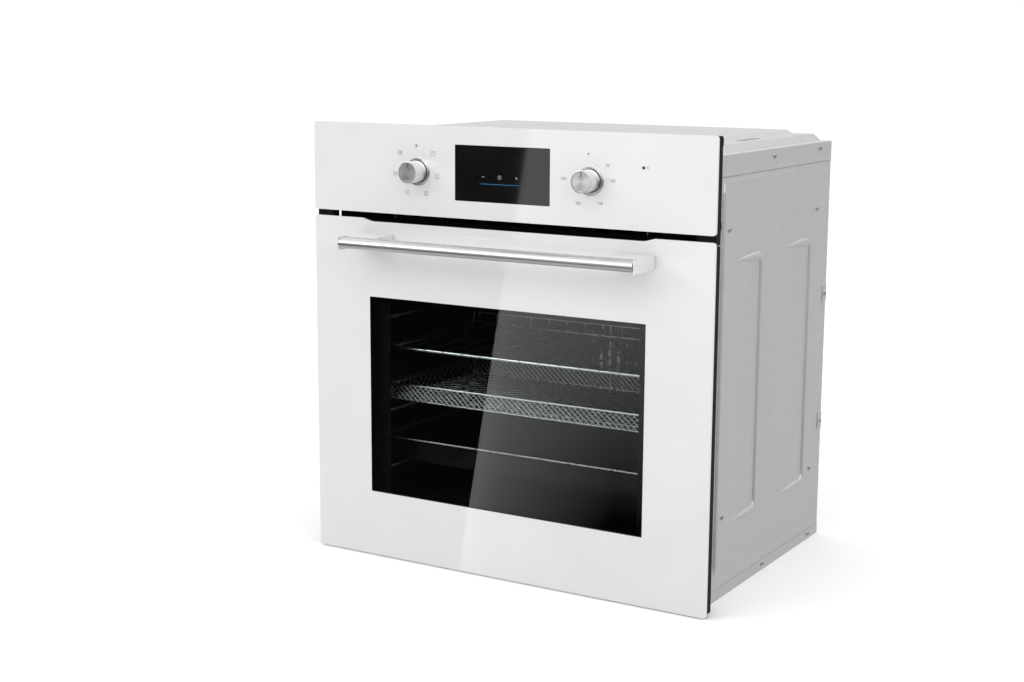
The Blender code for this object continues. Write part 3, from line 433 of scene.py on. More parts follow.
def mesh_piece(name, build, body, slot, replaced=(), finish=None, origin=(0, 0, 0)):
    """A piece whose mesh is drawn by build(shape)."""
    shape = bmesh.new()
    build(shape)
    bmesh.ops.recalc_face_normals(shape, faces=shape.faces[:])
    mesh = bpy.data.meshes.new(name)
    shape.to_mesh(mesh)
    shape.free()
    mesh.shade_smooth()
    mesh.set_sharp_from_angle(angle=SHARP_ANGLE)
    piece = place_piece(name, mesh, body, slot, replaced, finish, origin)
    piece.modifiers.new("even_shading", "WEIGHTED_NORMAL").keep_sharp = True


def wire_piece(name, runs, body, slot, replaced=(), finish=None):
    """A piece made of round wires. A run is its points, its radius and whether it is closed."""
    curve = bpy.data.curves.new(name, "CURVE")
    curve.dimensions = "3D"
    curve.bevel_depth = 1.0
    curve.bevel_resolution = 2
    curve.use_fill_caps = True
    for points, radius, closed in runs:
        spline = curve.splines.new("POLY")
        spline.points.add(len(points) - 1)
        spline.use_cyclic_u = closed
        for spot, point in zip(spline.points, points):
            spot.co = (*point, 1.0)
            spot.radius = radius
    place_piece(name, curve, body, slot, replaced, finish)


def add_block(shape, pose, material=0):
    """Adds a unit cube in a pose."""
    for vertex in bmesh.ops.create_cube(shape, size=1.0, matrix=pose)["verts"]:
        for face in vertex.link_faces:
            face.material_index = material


def add_box(shape, low, high):
    """Adds a block between two corners."""
    low, high = Vector(low), Vector(high)
    add_block(shape, Matrix.Translation((low + high) / 2) @ Matrix.Diagonal((*(high - low), 1.0)))


def add_bar(shape, middle, size, turn=0.0):
    """Adds a thin mark on a face that looks along -Y, turned about its middle."""
    turned = Matrix.Translation(middle) @ Matrix.Rotation(turn, 4, "Y")
    add_block(shape, turned @ Matrix.Diagonal((*size, 1.0)))


def bevel_edges(shape, width, angle=SHARP_ANGLE):
    """Rounds every edge whose faces meet at more than the angle."""
    sharp = [edge for edge in shape.edges if edge.is_manifold and edge.calc_face_angle(0.0) > angle]
    bmesh.ops.bevel(
        shape, geom=sharp, offset=width, segments=2, affect="EDGES", profile=0.5, clamp_overlap=True
    )


def corner(centre, radius, start, end, steps=CORNER_STEPS):
    """Points of an arc, between two angles in degrees."""
    angles = [math.radians(start + (end - start) * i / steps) for i in range(steps + 1)]
    return [(centre[0] + radius * math.cos(a), centre[1] + radius * math.sin(a)) for a in angles]


def rounded_rectangle(low, high, radius, steps=CORNER_STEPS):
    """Outline of a rectangle with round corners, anticlockwise from its low right corner."""
    (left, bottom), (right, top) = low, high
    spots = (
        ((right - radius, bottom + radius), -90),
        ((right - radius, top - radius), 0),
        ((left + radius, top - radius), 90),
        ((left + radius, bottom + radius), 180),
    )
    corners = [corner(centre, radius, start, start + 90, steps) for centre, start in spots]
    return sum(corners, [])


def circle(centre, radius, steps=64):
    """Points round a circle."""
    return corner(centre, radius, 0, 360 - 360 / steps, steps - 1)


def add_plate(shape, loops, to_point, start, end):
    """Adds a flat plate: the first loop is its outline, and the others are holes."""
    edges = []
    for loop in loops:
        corners = [shape.verts.new(to_point(u, v, start)) for u, v in loop]
        edges += [shape.edges.new(pair) for pair in zip(corners, corners[1:] + corners[:1])]
    filled = bmesh.ops.triangle_fill(shape, edges=edges, use_beauty=True, use_dissolve=False)["geom"]
    faces = [item for item in filled if isinstance(item, bmesh.types.BMFace)]
    made = bmesh.ops.extrude_face_region(shape, geom=faces)["geom"]
    step = Vector(to_point(0, 0, end)) - Vector(to_point(0, 0, start))
    bmesh.ops.translate(shape, verts=[v for v in made if isinstance(v, bmesh.types.BMVert)], vec=step)


def front_point(x, z, depth):
    """Point of a plate that faces the front."""
    return at(x, depth, z)


def front_plate(name, loops, depths, body, slot, replaced=(), finish=None, bevel=EDGE_BEVEL):
    """A plate that faces the front, with its edges rounded."""

    def build(shape):
        add_plate(shape, loops, front_point, *depths)
        bmesh.ops.recalc_face_normals(shape, faces=shape.faces[:])
        if bevel:
            bevel_edges(shape, bevel, math.radians(60))

    mesh_piece(name, build, body, slot, replaced, finish)


def add_lathe(shape, profile, pose, steps):
    """Adds a body turned about -Y: each profile point is (radius, how far it stands out)."""
    rings = []
    for radius, reach in profile:
        if radius == 0.0:
            rings.append([shape.verts.new(pose @ Vector((0, -reach, 0)))])
            continue
        spots = circle((0, 0), radius, steps)
        rings.append([shape.verts.new(pose @ Vector((x, -reach, z))) for x, z in spots])
    for near, far in zip(rings, rings[1:]):
        for i in range(steps):
            j = (i + 1) % steps
            # A dictionary drops the repeated point where a ring is a single point.
            around = dict.fromkeys((near[i % len(near)], near[j % len(near)]))
            around.update(dict.fromkeys((far[j % len(far)], far[i % len(far)])))
            shape.faces.new(list(around))


def softened(node_name, body, slot, width, angle=SHARP_ANGLE):
    """A copy of a CAD node with its sharp edges rounded, which stands for the node."""

    def build(shape):
        shape.from_mesh(NODES[node_name].data)
        bmesh.ops.remove_doubles(shape, verts=shape.verts[:], dist=0.00002)
        bmesh.ops.dissolve_limit(
            shape, angle_limit=math.radians(1), verts=shape.verts[:], edges=shape.edges[:]
        )
        for face in shape.faces:
            face.material_index = 0
        bevel_edges(shape, width, angle)

    mesh_piece(node_name + "_rounded", build, body, slot, (node_name,))


def add_sweep(shape, path, to_point, profile, taper):
    """Adds a closed strip that follows a path and thins out over the taper at both ends."""
    lengths = [0.0]
    for near, far in zip(path, path[1:]):
        lengths.append(lengths[-1] + (Vector(far) - Vector(near)).length)
    rows = []
    for i, point in enumerate(path):
        ahead = Vector(path[min(i + 1, len(path) - 1)]) - Vector(path[max(i - 1, 0)])
        ahead.normalize()
        left = min(lengths[i], lengths[-1] - lengths[i])
        size = 0.02 + 0.98 * min(1.0, left / taper)
        across = Vector((-ahead.y, ahead.x)) * size
        spots = [to_point(Vector(point) + across * u, height * size) for u, height in profile]
        rows.append([shape.verts.new(spot) for spot in spots])
    for near, far in zip(rows, rows[1:]):
        for i in range(len(profile)):
            j = (i + 1) % len(profile)
            shape.faces.new((near[i], near[j], far[j], far[i]))
    shape.faces.new(rows[0])
    shape.faces.new(rows[-1][::-1])


def bent_path(points, radius):
    """A path through the points, with round bends and a point at least every 4 mm."""
    steps, pitch = 6, 0.004
    spots = [Vector(point) for point in points]
    path = [spots[0]]
    for before, here, after in zip(spots, spots[1:], spots[2:]):
        start = here + (before - here).normalized() * radius
        end = here + (after - here).normalized() * radius
        for i in range(steps + 1):
            t = i / steps
            path.append(start.lerp(here, t).lerp(here.lerp(end, t), t))
    path.append(spots[-1])
    dense = [path[0]]
    for near, far in zip(path, path[1:]):
        count = max(1, math.ceil((far - near).length / pitch))
        dense += [near.lerp(far, (i + 1) / count) for i in range(count)]
    return [tuple(point) for point in dense]


def half_round(width, height):
    """Profile of a pressed rib, from one foot over its crown to the other, closed just below."""
    below, steepness, steps = -0.0003, 1.4, 8
    arch = []
    for i in range(steps + 1):
        angle = math.pi * i / steps
        arch.append((-width / 2 * math.cos(angle), height * math.sin(angle) ** steepness))
    return [*arch, (width / 2, below), (-width / 2, below)]


# Door


def door_outline():
    """Outline of the door's glass, with the shallow finger recess in its top edge."""
    low_half, high_half = RECESS_HALVES
    top = DOOR_HIGH.z
    outline = rounded_rectangle((DOOR_LOW.x, DOOR_LOW.z), (DOOR_HIGH.x, top), CORNER_RADIUS)
    dip = [(high_half, top), (low_half, top - RECESS), (-low_half, top - RECESS), (-high_half, top)]
    right_side = 2 * CORNER_POINTS
    return outline[:right_side] + dip + outline[right_side:]


def door_front():
    """White front glass, its clear window, and the black print round the inner pane."""
    window = rounded_rectangle((-WINDOW_HALF, WINDOW_Z[0]), (WINDOW_HALF, WINDOW_Z[1]), WINDOW_CORNER)
    loops = [door_outline(), window]
    front_plate("door_front_panel", loops, (0.0, GLASS), "door", "white_glass", ("door_outer_glass",))
    low, high = (-WINDOW_HALF + FIT, WINDOW_Z[0] + FIT), (WINDOW_HALF - FIT, WINDOW_Z[1] - FIT)
    pane = rounded_rectangle(low, high, WINDOW_CORNER)
    depths = (FIT, GLASS - FIT)
    front_plate("door_window_pane", [pane], depths, "door", "clear_glass", (), (WINDOW_GLASS,), 0)
    low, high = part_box("door_inner_glass")
    outer = rounded_rectangle((low.x, low.z), (high.x, high.z), CORNER_RADIUS)
    opening = rounded_rectangle((-BORDER_HALF, BORDER_Z[0]), (BORDER_HALF, BORDER_Z[1]), BORDER_CORNER)
    back = low.y - FRONT_Y - INK
    depths = (back - 2 * INK, back)
    loops = [outer, opening]
    front_plate("door_inner_print", loops, depths, "door", "black_plastic", (), (BLACK_PRINT_AND_SHADE,), 0)


def handle_outline(low, high):
    """End of the handle's bar, as (depth, Z): a round nose with a groove, and a flat back."""
    nose = (high.z - low.z) / 2
    centre = (low.y - FRONT_Y + nose, (high.z + low.z) / 2)
    outline = corner(centre, nose, 90, 270, NOSE_STEPS)
    depth, z = outline[GROOVE_STEP]
    outline[GROOVE_STEP] = (depth + 2 * GROOVE, z - GROOVE)
    back = high.y - FRONT_Y
    return [*outline, (back, low.z), (back, high.z)]


def handle():
    """Bar of the handle with a groove along its top, and its two softened end brackets."""
    low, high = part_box("handle_bar")
    outline = handle_outline(low, high)

    def build(shape):
        rings = [[shape.verts.new(at(x, depth, z)) for depth, z in outline] for x in (low.x, high.x)]
        for i in range(len(outline)):
            j = (i + 1) % len(outline)
            shape.faces.new((rings[0][i], rings[0][j], rings[1][j], rings[1][i]))
        shape.faces.new(rings[0])
        shape.faces.new(rings[1])

    mesh_piece("handle_bar_brushed", build, "door", "brushed_aluminium", ("handle_bar",))
    for side in SIDES:
        softened(f"handle_bracket_{SIDE_NAMES[side]}", "door", "white_plastic", BRACKET_BEVEL)


# Control panel


def display_outline(gap):
    """Outline of the display, a gap smaller all round."""
    low = (-DISPLAY_HALF + gap, DISPLAY_Z[0] + gap)
    high = (DISPLAY_HALF - gap, DISPLAY_Z[1] - gap)
    return rounded_rectangle(low, high, DISPLAY_CORNER)


def panel_front():
    """White panel glass with its openings, and the black glass of the display."""
    outline = rounded_rectangle((PANEL_LOW.x, PANEL_LOW.z), (PANEL_HIGH.x, PANEL_HIGH.z), CORNER_RADIUS)
    loops = [outline, display_outline(0.0)]
    loops += [circle((side * KNOB_X, KNOB_Z), KNOB_HOLE) for side in SIDES]
    loops.append(circle((PILOT_X, PILOT_Z), PILOT_HOLE, 24))
    front_plate("panel_front", loops, (0.0, GLASS), "chassis", "white_glass", ("control_panel_glass",))
    depths = (0.0, GLASS - FIT)
    pane = [display_outline(FIT)]
    front_plate("display_pane", pane, depths, "chassis", "black_plastic", (), (DISPLAY_GLASS,), FIT)


def add_text(shape, words, size, x, z):
    """Adds flat printed characters on the front, centred on a point."""
    curve = bpy.data.curves.new("print", "FONT")
    curve.body = words
    curve.size = size
    curve.align_x = "CENTER"
    curve.align_y = "CENTER"
    curve.extrude = INK / 2
    holder = bpy.data.objects.new("print", curve)
    mesh = bpy.data.meshes.new_from_object(holder)
    mesh.transform(Matrix.Translation(at(x, -INK / 2, z)) @ Matrix.Rotation(math.radians(90), 4, "X"))
    shape.from_mesh(mesh)
    bpy.data.objects.remove(holder)
    bpy.data.curves.remove(curve)
    bpy.data.meshes.remove(mesh)


def add_line(shape, x, z, width, height, turn=0):
    """Adds a printed line on the front, turned by degrees about its middle."""
    add_bar(shape, at(x, -INK / 2, z), (width, INK, height), math.radians(turn))


def selector_symbols():
    """Generic cooking symbols round the selector: a lamp, then squares with bars or a cross."""
    places = ((-0.1305, 0.5678), (-0.1048, 0.5588), (-0.0981, 0.5291), (-0.1154, 0.5065))
    places += ((-0.1450, 0.5063), (-0.1640, 0.5296), (-0.1560, 0.5582))
    with_top, with_bottom, with_cross = (1, 3, 5, 6), (2, 3, 6), (4, 5, 6)
    half, rise = (SYMBOL - SYMBOL_LINE) / 2, SYMBOL * 0.24
    bar, arm, ray = SYMBOL * 0.6, SYMBOL * 0.34, SYMBOL * 0.9

    def build(shape):
        for turn in range(0, 180, 45):
            add_line(shape, *places[0], SYMBOL_LINE, ray, turn)
        for i, (x, z) in enumerate(places[1:], 1):
            for side in SIDES:
                add_line(shape, x + side * half, z, SYMBOL_LINE, SYMBOL)
                add_line(shape, x, z + side * half, SYMBOL, SYMBOL_LINE)
            if i in with_top:
                add_line(shape, x, z + rise, bar, SYMBOL_LINE)
            if i in with_bottom:
                add_line(shape, x, z - rise, bar, SYMBOL_LINE)
            if i in with_cross:
                add_line(shape, x, z, SYMBOL_LINE, arm, 45)
                add_line(shape, x, z, SYMBOL_LINE, arm, 135)

    mesh_piece("selector_symbols", build, "chassis", "white_glass", finish=(GREY_PRINT_AND_SHADE,))


def thermostat_scale():
    """Numbers round the thermostat, and the unit beside the pilot lamp."""
    numbers = (("50", 0.1516, 0.5539), ("100", 0.1586, 0.5355), ("150", 0.1420, 0.5070))
    numbers += (("200", 0.1110, 0.5056), ("250", 0.0900, 0.5354))
    unit_size, unit_gap = 0.0050, 0.0056

    def build(shape):
        for words, x, z in numbers:
            add_text(shape, words, DIGIT, x, z)
        add_text(shape, "°C", unit_size, PILOT_X + unit_gap, PILOT_Z)

    mesh_piece("thermostat_scale", build, "chassis", "white_glass", finish=(GREY_PRINT_AND_SHADE,))


def display_marks():
    """Minus, clock and plus of the touch timer, and the blue marks."""
    minus_x, clock_x, plus_x = -0.0275, -0.0029, 0.0219
    rim, hand = 0.0004, MARK_LINE * 0.8
    long_hand, long_middle, short_hand, short_middle = 0.0013, 0.0006, 0.0011, 0.0005

    def marks(shape):
        add_line(shape, minus_x, MARK_Z, MARK, MARK_LINE)
        add_line(shape, plus_x, MARK_Z, MARK, MARK_LINE)
        add_line(shape, plus_x, MARK_Z, MARK_LINE, MARK)
        face = [circle((clock_x, MARK_Z), radius, 32) for radius in (CLOCK_RADIUS, CLOCK_RADIUS - rim)]
        add_plate(shape, face, front_point, -INK, 0.0)
        add_line(shape, clock_x, MARK_Z + long_middle, hand, long_hand)
        add_line(shape, clock_x + short_middle, MARK_Z, short_hand, hand)

    def lights(shape):
        add_line(shape, BLUE_LINE_X, BLUE_LINE_Z, *BLUE_LINE)
        add_plate(shape, [circle(BLUE_DOT, BLUE_DOT_RADIUS, 24)], front_point, -INK, 0.0)

    mesh_piece("display_marks", marks, "chassis", "white_plastic", finish=(PALE_PRINT,))
    mesh_piece("display_lights", lights, "chassis", "clear_glass", finish=(BLUE_LIGHT,))


def knob_profile():
    """Half section of a knob: ringed cap, rounded lip, grooved skirt and a bore at the back."""
    radius, reach = KNOB_RADIUS, KNOB_REACH
    dish, step, lip = 0.0003, 0.0002, 0.0005
    ring_in, ring_out = radius - 0.0024, radius - 0.0016
    skirt, back = 0.004, -0.009
    bore, bore_end = 0.006, back + 0.002
    profile = [(0.0, reach - dish), (ring_in, reach - dish), (ring_in + step, reach - 2 * dish)]
    profile += [(ring_out - step, reach - 2 * dish), (ring_out, reach), (radius - lip, reach)]
    profile += [(radius - lip * 0.3, reach - lip * 0.3), (radius, reach - lip), (radius, skirt)]
    profile += [(radius - step, skirt - step), (radius - step, skirt - 3 * step)]
    profile += [(radius, skirt - 4 * step), (radius, back), (bore, back)]
    return [*profile, (bore, bore_end), (0.0, bore_end)]


def knob(side):
    """Turned knob with a brushed cap, a groove near its edge and a pointer mark."""
    name = "selector_knob" if side < 0 else "thermostat_knob"
    origin = at(side * KNOB_X, 0.0, KNOB_Z)
    half, proud, sunk = 0.0005, 0.00005, 0.0008
    start, end = KNOB_RADIUS * 0.42, KNOB_RADIUS * 0.83

    def build(shape):
        add_lathe(shape, knob_profile(), UPRIGHT, TURNED_STEPS)

    def pointer(shape):
        add_box(shape, (-half, -KNOB_REACH - proud, start), (half, -KNOB_REACH + sunk, end))

    mesh_piece(f"{name}_turned", build, name, "brushed_aluminium", (name,), (ROUND_BRUSHED,), origin)
    mesh_piece(f"{name}_pointer", pointer, name, "black_plastic", (), (DARK_PRINT_AND_SHADE,), origin)


def bezel(side):
    """Polished ring round a knob, standing just proud of the glass."""
    name = f"knob_bezel_{SIDE_NAMES[side]}"
    low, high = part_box(name)
    reach, back = FRONT_Y - low.y, FRONT_Y - high.y
    inner, outer, neck = 0.0148, (high.x - low.x) / 2, KNOB_HOLE - 0.0002
    lip, foot = 0.0004, 0.0001
    profile = [(inner, back), (inner, reach - lip), (inner + lip, reach), (outer - 2 * lip, reach)]
    profile += [(outer - lip / 2, reach - lip), (outer, reach - 0.0009), (outer, foot)]
    profile += [(neck, foot), (neck, back), (inner, back)]

    def build(shape):
        add_lathe(shape, profile, UPRIGHT, TURNED_STEPS)
        bmesh.ops.remove_doubles(shape, verts=shape.verts[:], dist=0.000001)

    origin = at(side * KNOB_X, 0, KNOB_Z)
    finish = (ROUND_BRUSHED,)
    mesh_piece(f"{name}_turned", build, "chassis", "brushed_aluminium", (name,), finish, origin)


# Shelves


def shelf_rack():
    """Wire shelf: a heavy frame, thin wires across it, and a raised rail at the back."""
    half = RACK_HIGH.x - RACK_FRAME
    near, far = RACK_LOW.y + RACK_FRAME, RACK_HIGH.y - RACK_FRAME
    level = (RACK_LOW.z + RACK_HIGH.z) / 2
    corner_radius, rise, rail_radius, inset = 0.012, 0.016, 0.002, 0.004
    over, lap, bend, kink = level + RACK_FRAME * 0.6, 0.0018, 0.010, 0.003
    outline = rounded_rectangle((-half, near), (half, far), corner_radius)
    runs = [([(x, y, level) for x, y in outline], RACK_FRAME, True)]
    count = int((half - corner_radius) / RACK_PITCH)
    for i in range(-count, count + 1):
        x = i * RACK_PITCH
        run = [(x, near - lap, level), (x, near, over), (x, far - bend, over)]
        run += [(x, far, over + kink), (x, far, level + rise)]
        runs.append((run, RACK_WIRE, False))
    end = half - inset
    rail = [(-end, far - inset, level), (-end, far, level + rise)]
    rail += [(end, far, level + rise), (end, far - inset, level)]
    runs.append((rail, rail_radius, False))
    wire_piece("wire_rack_wires", runs, "wire_rack", "chromed_wire", ("wire_rack",))


def crossing_lines(width, height, pitch, slope):
    """Segments of a diamond mesh inside a rectangle that starts at 0, 0."""
    run = height / slope
    lines = []
    for i in range(math.ceil(-run / pitch), math.floor(width / pitch) + 1):
        start = i * pitch
        enter, leave = max(0.0, start), min(width, start + run)
        if leave - enter > pitch * 0.05:
            low, high = (enter - start) * slope, (leave - start) * slope
            lines.append(((enter, low), (leave, high)))
            lines.append(((width - enter, low), (width - leave, high)))
    return lines


def basket_rim(half, near, far, rim_z):
    """Rim of the basket, whose front is raised between its two shoulders."""
    radius, shoulder, lift, slope = 0.010, 0.185, 0.0024, 0.003
    rim = [(x, y, rim_z) for x, y in rounded_rectangle((-half, near), (half, far), radius)]
    step = [(shoulder + slope, rim_z), (shoulder, rim_z + lift)]
    front = [(x, near, z) for x, z in [(-u, v) for u, v in step] + step[::-1]]
    last_corner = 3 * CORNER_POINTS
    return rim[last_corner:] + front + rim[:last_corner]


def basket():
    """Fry basket: a rim wire with a raised middle, over sides and a floor of diamond mesh."""
    post, hook, inset = 0.0012, 0.0014, 0.0085
    half, side_half = BASKET_HIGH.x - RIM_WIRE, 0.214
    near, far = BASKET_LOW.y + RIM_WIRE, BASKET_HIGH.y - RIM_WIRE
    in_near, in_far = near + inset, far - inset
    floor_z, rim_z = BASKET_LOW.z, BASKET_HIGH.z - 0.0016
    width, length, height = 2 * side_half, in_far - in_near, rim_z - floor_z
    side_pitch, floor_pitch = 1.6 * MESH_PITCH, 2.4 * MESH_PITCH
    runs = [(basket_rim(half, near, far, rim_z), RIM_WIRE, True)]
    for line in crossing_lines(width, height, MESH_PITCH, MESH_SLOPE):
        for y in (in_near, in_far):
            runs.append(([(u - side_half, y, floor_z + v) for u, v in line], MESH_WIRE, False))
    for line in crossing_lines(length, height, side_pitch, MESH_SLOPE):
        for x in (-side_half, side_half):
            runs.append(([(x, in_near + u, floor_z + v) for u, v in line], MESH_WIRE, False))
    for line in crossing_lines(width, length, floor_pitch, 1.0):
        runs.append(([(u - side_half, in_near + v, floor_z) for u, v in line], 0.6 * MESH_WIRE, False))
    base = rounded_rectangle((-side_half, in_near), (side_half, in_far), 0.004)
    runs.append(([(x, y, floor_z + MESH_WIRE) for x, y in base], MESH_WIRE, True))
    for side in SIDES:
        x = side * side_half
        for y in (in_near, in_far):
            runs.append(([(x, y, floor_z), (x, y, rim_z)], post, False))
            runs.append(([(x, y, rim_z), (side * half, y, rim_z)], hook, False))
    wire_piece("fry_basket_wires", runs, "fry_basket", "chromed_wire", ("fry_basket",))


def tray():
    """Enamelled baking tray with softened edges and a rolled rim."""
    softened("baking_tray", "baking_tray", "black_enamel", 0.0004, math.radians(50))
    radius, corner_radius = 0.0012, 0.003
    half = TRAY_HIGH.x - radius
    near, far = TRAY_LOW.y + radius, TRAY_HIGH.y - radius
    rim = rounded_rectangle((-half, near), (half, far), corner_radius)
    rolled = [([(x, y, TRAY_HIGH.z) for x, y in rim], radius, True)]
    wire_piece("baking_tray_rim", rolled, "baking_tray", "stainless_steel")


def ladders():
    """Side racks: two upright wires and a bent rail at each shelf level."""
    near, far = LADDER_LOW.y + LADDER_WIRE, LADDER_HIGH.y - LADDER_WIRE
    low, high = LADDER_LOW.z + LADDER_WIRE, LADDER_HIGH.z - LADDER_WIRE
    bend = 0.006
    for side in SIDES:
        post_x, rail_x = side * POST_X, side * RAIL_X
        posts = [(post_x, near + bend, low), (post_x, near + bend, high)]
        posts += [(post_x, far - bend, high), (post_x, far - bend, low)]
        runs = [(posts, LADDER_WIRE, True)]
        for level in SHELF_LEVELS:
            rail = [(post_x, near + bend, level), (rail_x, near, level), (rail_x, far, level)]
            runs.append(([*rail, (post_x, far - bend, level)], LADDER_WIRE, False))
        node_name = f"shelf_ladder_{SIDE_NAMES[side]}"
        # The chromed wires get chrome darkened into painted shade, as they stand in the cavity's dark
        # sides.
        wire_piece(node_name + "_wires", runs, "chassis", "chromed_wire", (node_name,), (SHADED_CHROME_WIRE,))


# Casing


def side_point(side):
    """How a place on a side of the casing becomes a point: (depth, Z) and how far it stands out."""
    return lambda place, height: at(side * (CASING_HALF + height), place[0], place[1])


def side_ribs(side):
    """Ribs pressed in the side: two bracket shapes and the low folds above and below them."""
    brackets = (
        ((0.106, 0.434), (0.189, 0.434), (0.189, 0.096), (0.112, 0.096)),
        ((0.273, 0.435), (0.3605, 0.435), (0.3605, 0.094), (0.275, 0.094)),
    )
    folds = (((0.077, 0.5335), (0.293, 0.5335)), ((0.068, 0.0225), (0.383, 0.0225)))
    bend, fold_width, fold_height = 0.013, 0.006, 0.0006
    rib, fold = half_round(RIB_WIDTH, RIB_HEIGHT), half_round(fold_width, fold_height)

    def build(shape):
        for path in brackets:
            add_sweep(shape, bent_path(path, bend), side_point(side), rib, RIB_TAPER)
        for path in folds:
            add_sweep(shape, bent_path(path, 0.0), side_point(side), fold, fold_width)

    mesh_piece(f"side_ribs_{SIDE_NAMES[side]}", build, "chassis", "galvanised_steel")


def side_channel(side):
    """Turned strip along the side's front edge, with a rounded face."""
    width, height, taper = 0.010, 0.0035, 0.012
    ends = ((CHANNEL_DEPTH, 0.034), (CHANNEL_DEPTH, 0.536))

    def build(shape):
        add_sweep(shape, bent_path(ends, 0.0), side_point(side), half_round(width, height), taper)

    mesh_piece(f"side_channel_{SIDE_NAMES[side]}", build, "chassis", "galvanised_steel")


def add_screw(shape, pose):
    """Adds a pan-head screw which looks along the pose's -Y, with a flat dark cross on its head: painted
    shade for its cross recess.
    """
    radius, height, under = SCREW_RADIUS, SCREW_HEIGHT, -0.0002
    profile = [(0.0, height), (radius * 0.45, height), (radius * 0.8, height * 0.78)]
    profile += [(radius, height * 0.3), (radius, under), (0.0, under)]
    add_lathe(shape, profile, pose, 24)
    # The cross recess isn't cut: a thin dark block on the head paints its shade.
    for turn in (45, 135):
        slot = pose @ Matrix.Rotation(math.radians(turn), 4, "Y") @ Matrix.Translation((0, -height, 0))
        add_block(shape, slot @ Matrix.Diagonal((radius * 0.95, 0.0002, radius * 0.22, 1.0)), 1)


def screws(name, spots, turn):
    """A set of casing screws, all turned by the same angle about Z."""
    turned = Matrix.Rotation(math.radians(turn), 4, "Z")

    def build(shape):
        for spot in spots:
            add_screw(shape, Matrix.Translation(spot) @ turned)

    finish = (FINISHES["stainless_steel"], DARK_PRINT_AND_SHADE)
    mesh_piece(name, build, "chassis", "stainless_steel", finish=finish)


def side_screws(side):
    """Screws of one side of the casing."""
    places = ((0.222, 0.558), (0.386, 0.560), (0.382, 0.477), (0.084, 0.475))
    places += ((0.388, 0.106), (0.085, 0.108), (0.224, 0.009), (0.392, 0.008))
    spots = [at(side * CASING_HALF, depth, z) for depth, z in places]
    screws(f"side_screws_{SIDE_NAMES[side]}", spots, 90 * side)


def edge_clips(side):
    """Turned tabs on the casing's back edge, each with its screw, and the panel housing's clips."""
    name = SIDE_NAMES[side]
    outer = CASING_HALF + TAB_SHEET
    tab_half, tab_near, tab_far, sunk = 0.012, 0.009, 0.0055, 0.0002
    clip_heights, clip_half = (0.4870, 0.5870), 0.0045
    clip_x, clip_depths = (0.2940, 0.2966), (0.0130, 0.0185)

    def tabs(shape):
        for z in TAB_HEIGHTS:
            left, right = sorted((side * (CASING_HALF - sunk), side * outer))
            near = at(left, TAB_DEPTH - tab_near, z - tab_half)
            add_box(shape, near, at(right, TAB_DEPTH + tab_far, z + tab_half))
        bevel_edges(shape, 0.0005)

    def clips(shape):
        for z in clip_heights:
            left, right = sorted(side * x for x in clip_x)
            near = at(left, clip_depths[0], z - clip_half)
            add_box(shape, near, at(right, clip_depths[1], z + clip_half))
        bevel_edges(shape, 0.0006)

    mesh_piece(f"edge_tabs_{name}", tabs, "chassis", "galvanised_steel")
    spots = [at(side * outer, TAB_DEPTH - 0.002, z) for z in TAB_HEIGHTS]
    screws(f"edge_screws_{name}", spots, 90 * side)
    mesh_piece(f"housing_clips_{name}", clips, "chassis", "black_plastic")


def back_point(place, height):
    """How a place on the rear cover becomes a point: (X, Z) and how far it stands out."""
    return at(place[0], BACK_DEPTH + height, place[1])


def back():
    """Rear cover's pressed ribs, cooling slots shown as black plates of painted shade, screws, and what
    shows of the terminal box.
    """
    rib, taper = half_round(0.012, 0.0025), 0.009
    low_z, high_z, upright_x, reach = 0.075, 0.400, 0.225, 0.190
    fan_z, fan_radius, fan_steps = 0.245, 0.105, 72
    rows, row_z, row_pitch = 4, 0.450, 0.016
    slots_per_row, slot_x, slot_pitch = 9, -0.215, 0.030
    slot_length, slot_height, slot_corner = 0.022, 0.005, 0.0024

    def ribs(shape):
        for x in (-upright_x, upright_x):
            add_sweep(shape, bent_path(((x, low_z), (x, high_z)), 0.0), back_point, rib, taper)
        for z in (low_z, high_z):
            add_sweep(shape, bent_path(((-reach, z), (reach, z)), 0.0), back_point, rib, taper)
        ring = corner((0.0, fan_z), fan_radius, 0, 360, fan_steps)
        add_sweep(shape, ring, back_point, rib, 0.0001)

    # The cooling slots aren't cut: each is a thin black plate on the cover, painted shade where the
    # inside of an opening would be.
    def slots(shape):
        for row in range(rows):
            for i in range(slots_per_row):
                x, z = slot_x + i * slot_pitch, row_z + row * row_pitch
                loop = rounded_rectangle((x, z), (x + slot_length, z + slot_height), slot_corner, 3)
                add_plate(shape, [loop], front_point, BACK_DEPTH - INK, BACK_DEPTH + 2 * INK)

    mesh_piece("back_ribs", ribs, "chassis", "galvanised_steel")
    mesh_piece("back_slot_shade", slots, "chassis", "black_plastic", finish=(BLACK_PRINT_AND_SHADE,))
    softened("terminal_box", "chassis", "black_plastic", 0.0015, math.radians(50))
    spots = [at(x, BACK_DEPTH, z) for x in (-0.262, 0.262) for z in (0.030, 0.200, 0.360, 0.526)]
    spots += [at(x, BACK_DEPTH, z) for x in (-0.090, 0.070) for z in (0.030, 0.526)]
    screws("back_screws", spots, 180)


def lid():
    """Top cover with rolled steps and two slots shown as grey plates of painted shade."""
    softened("top_cover", "chassis", "galvanised_steel", 0.0022, math.radians(20))
    platform = CASING_HIGH.z - 0.006
    half, near, far, radius = 0.006, 0.190, 0.255, 0.003

    # The slots aren't cut: each is a thin grey plate on the lid, painted shade where the inside of an
    # opening would be.
    def slots(shape):
        for x in (-0.252, 0.240):
            loop = rounded_rectangle((x - half, depth_y(near)), (x + half, depth_y(far)), radius, 3)
            add_plate(shape, [loop], lambda u, v, z: (u, v, z), platform - INK, platform + 2 * INK)

    mesh_piece("lid_slot_shade", slots, "chassis", "black_plastic", finish=(GREY_PRINT_AND_SHADE,))


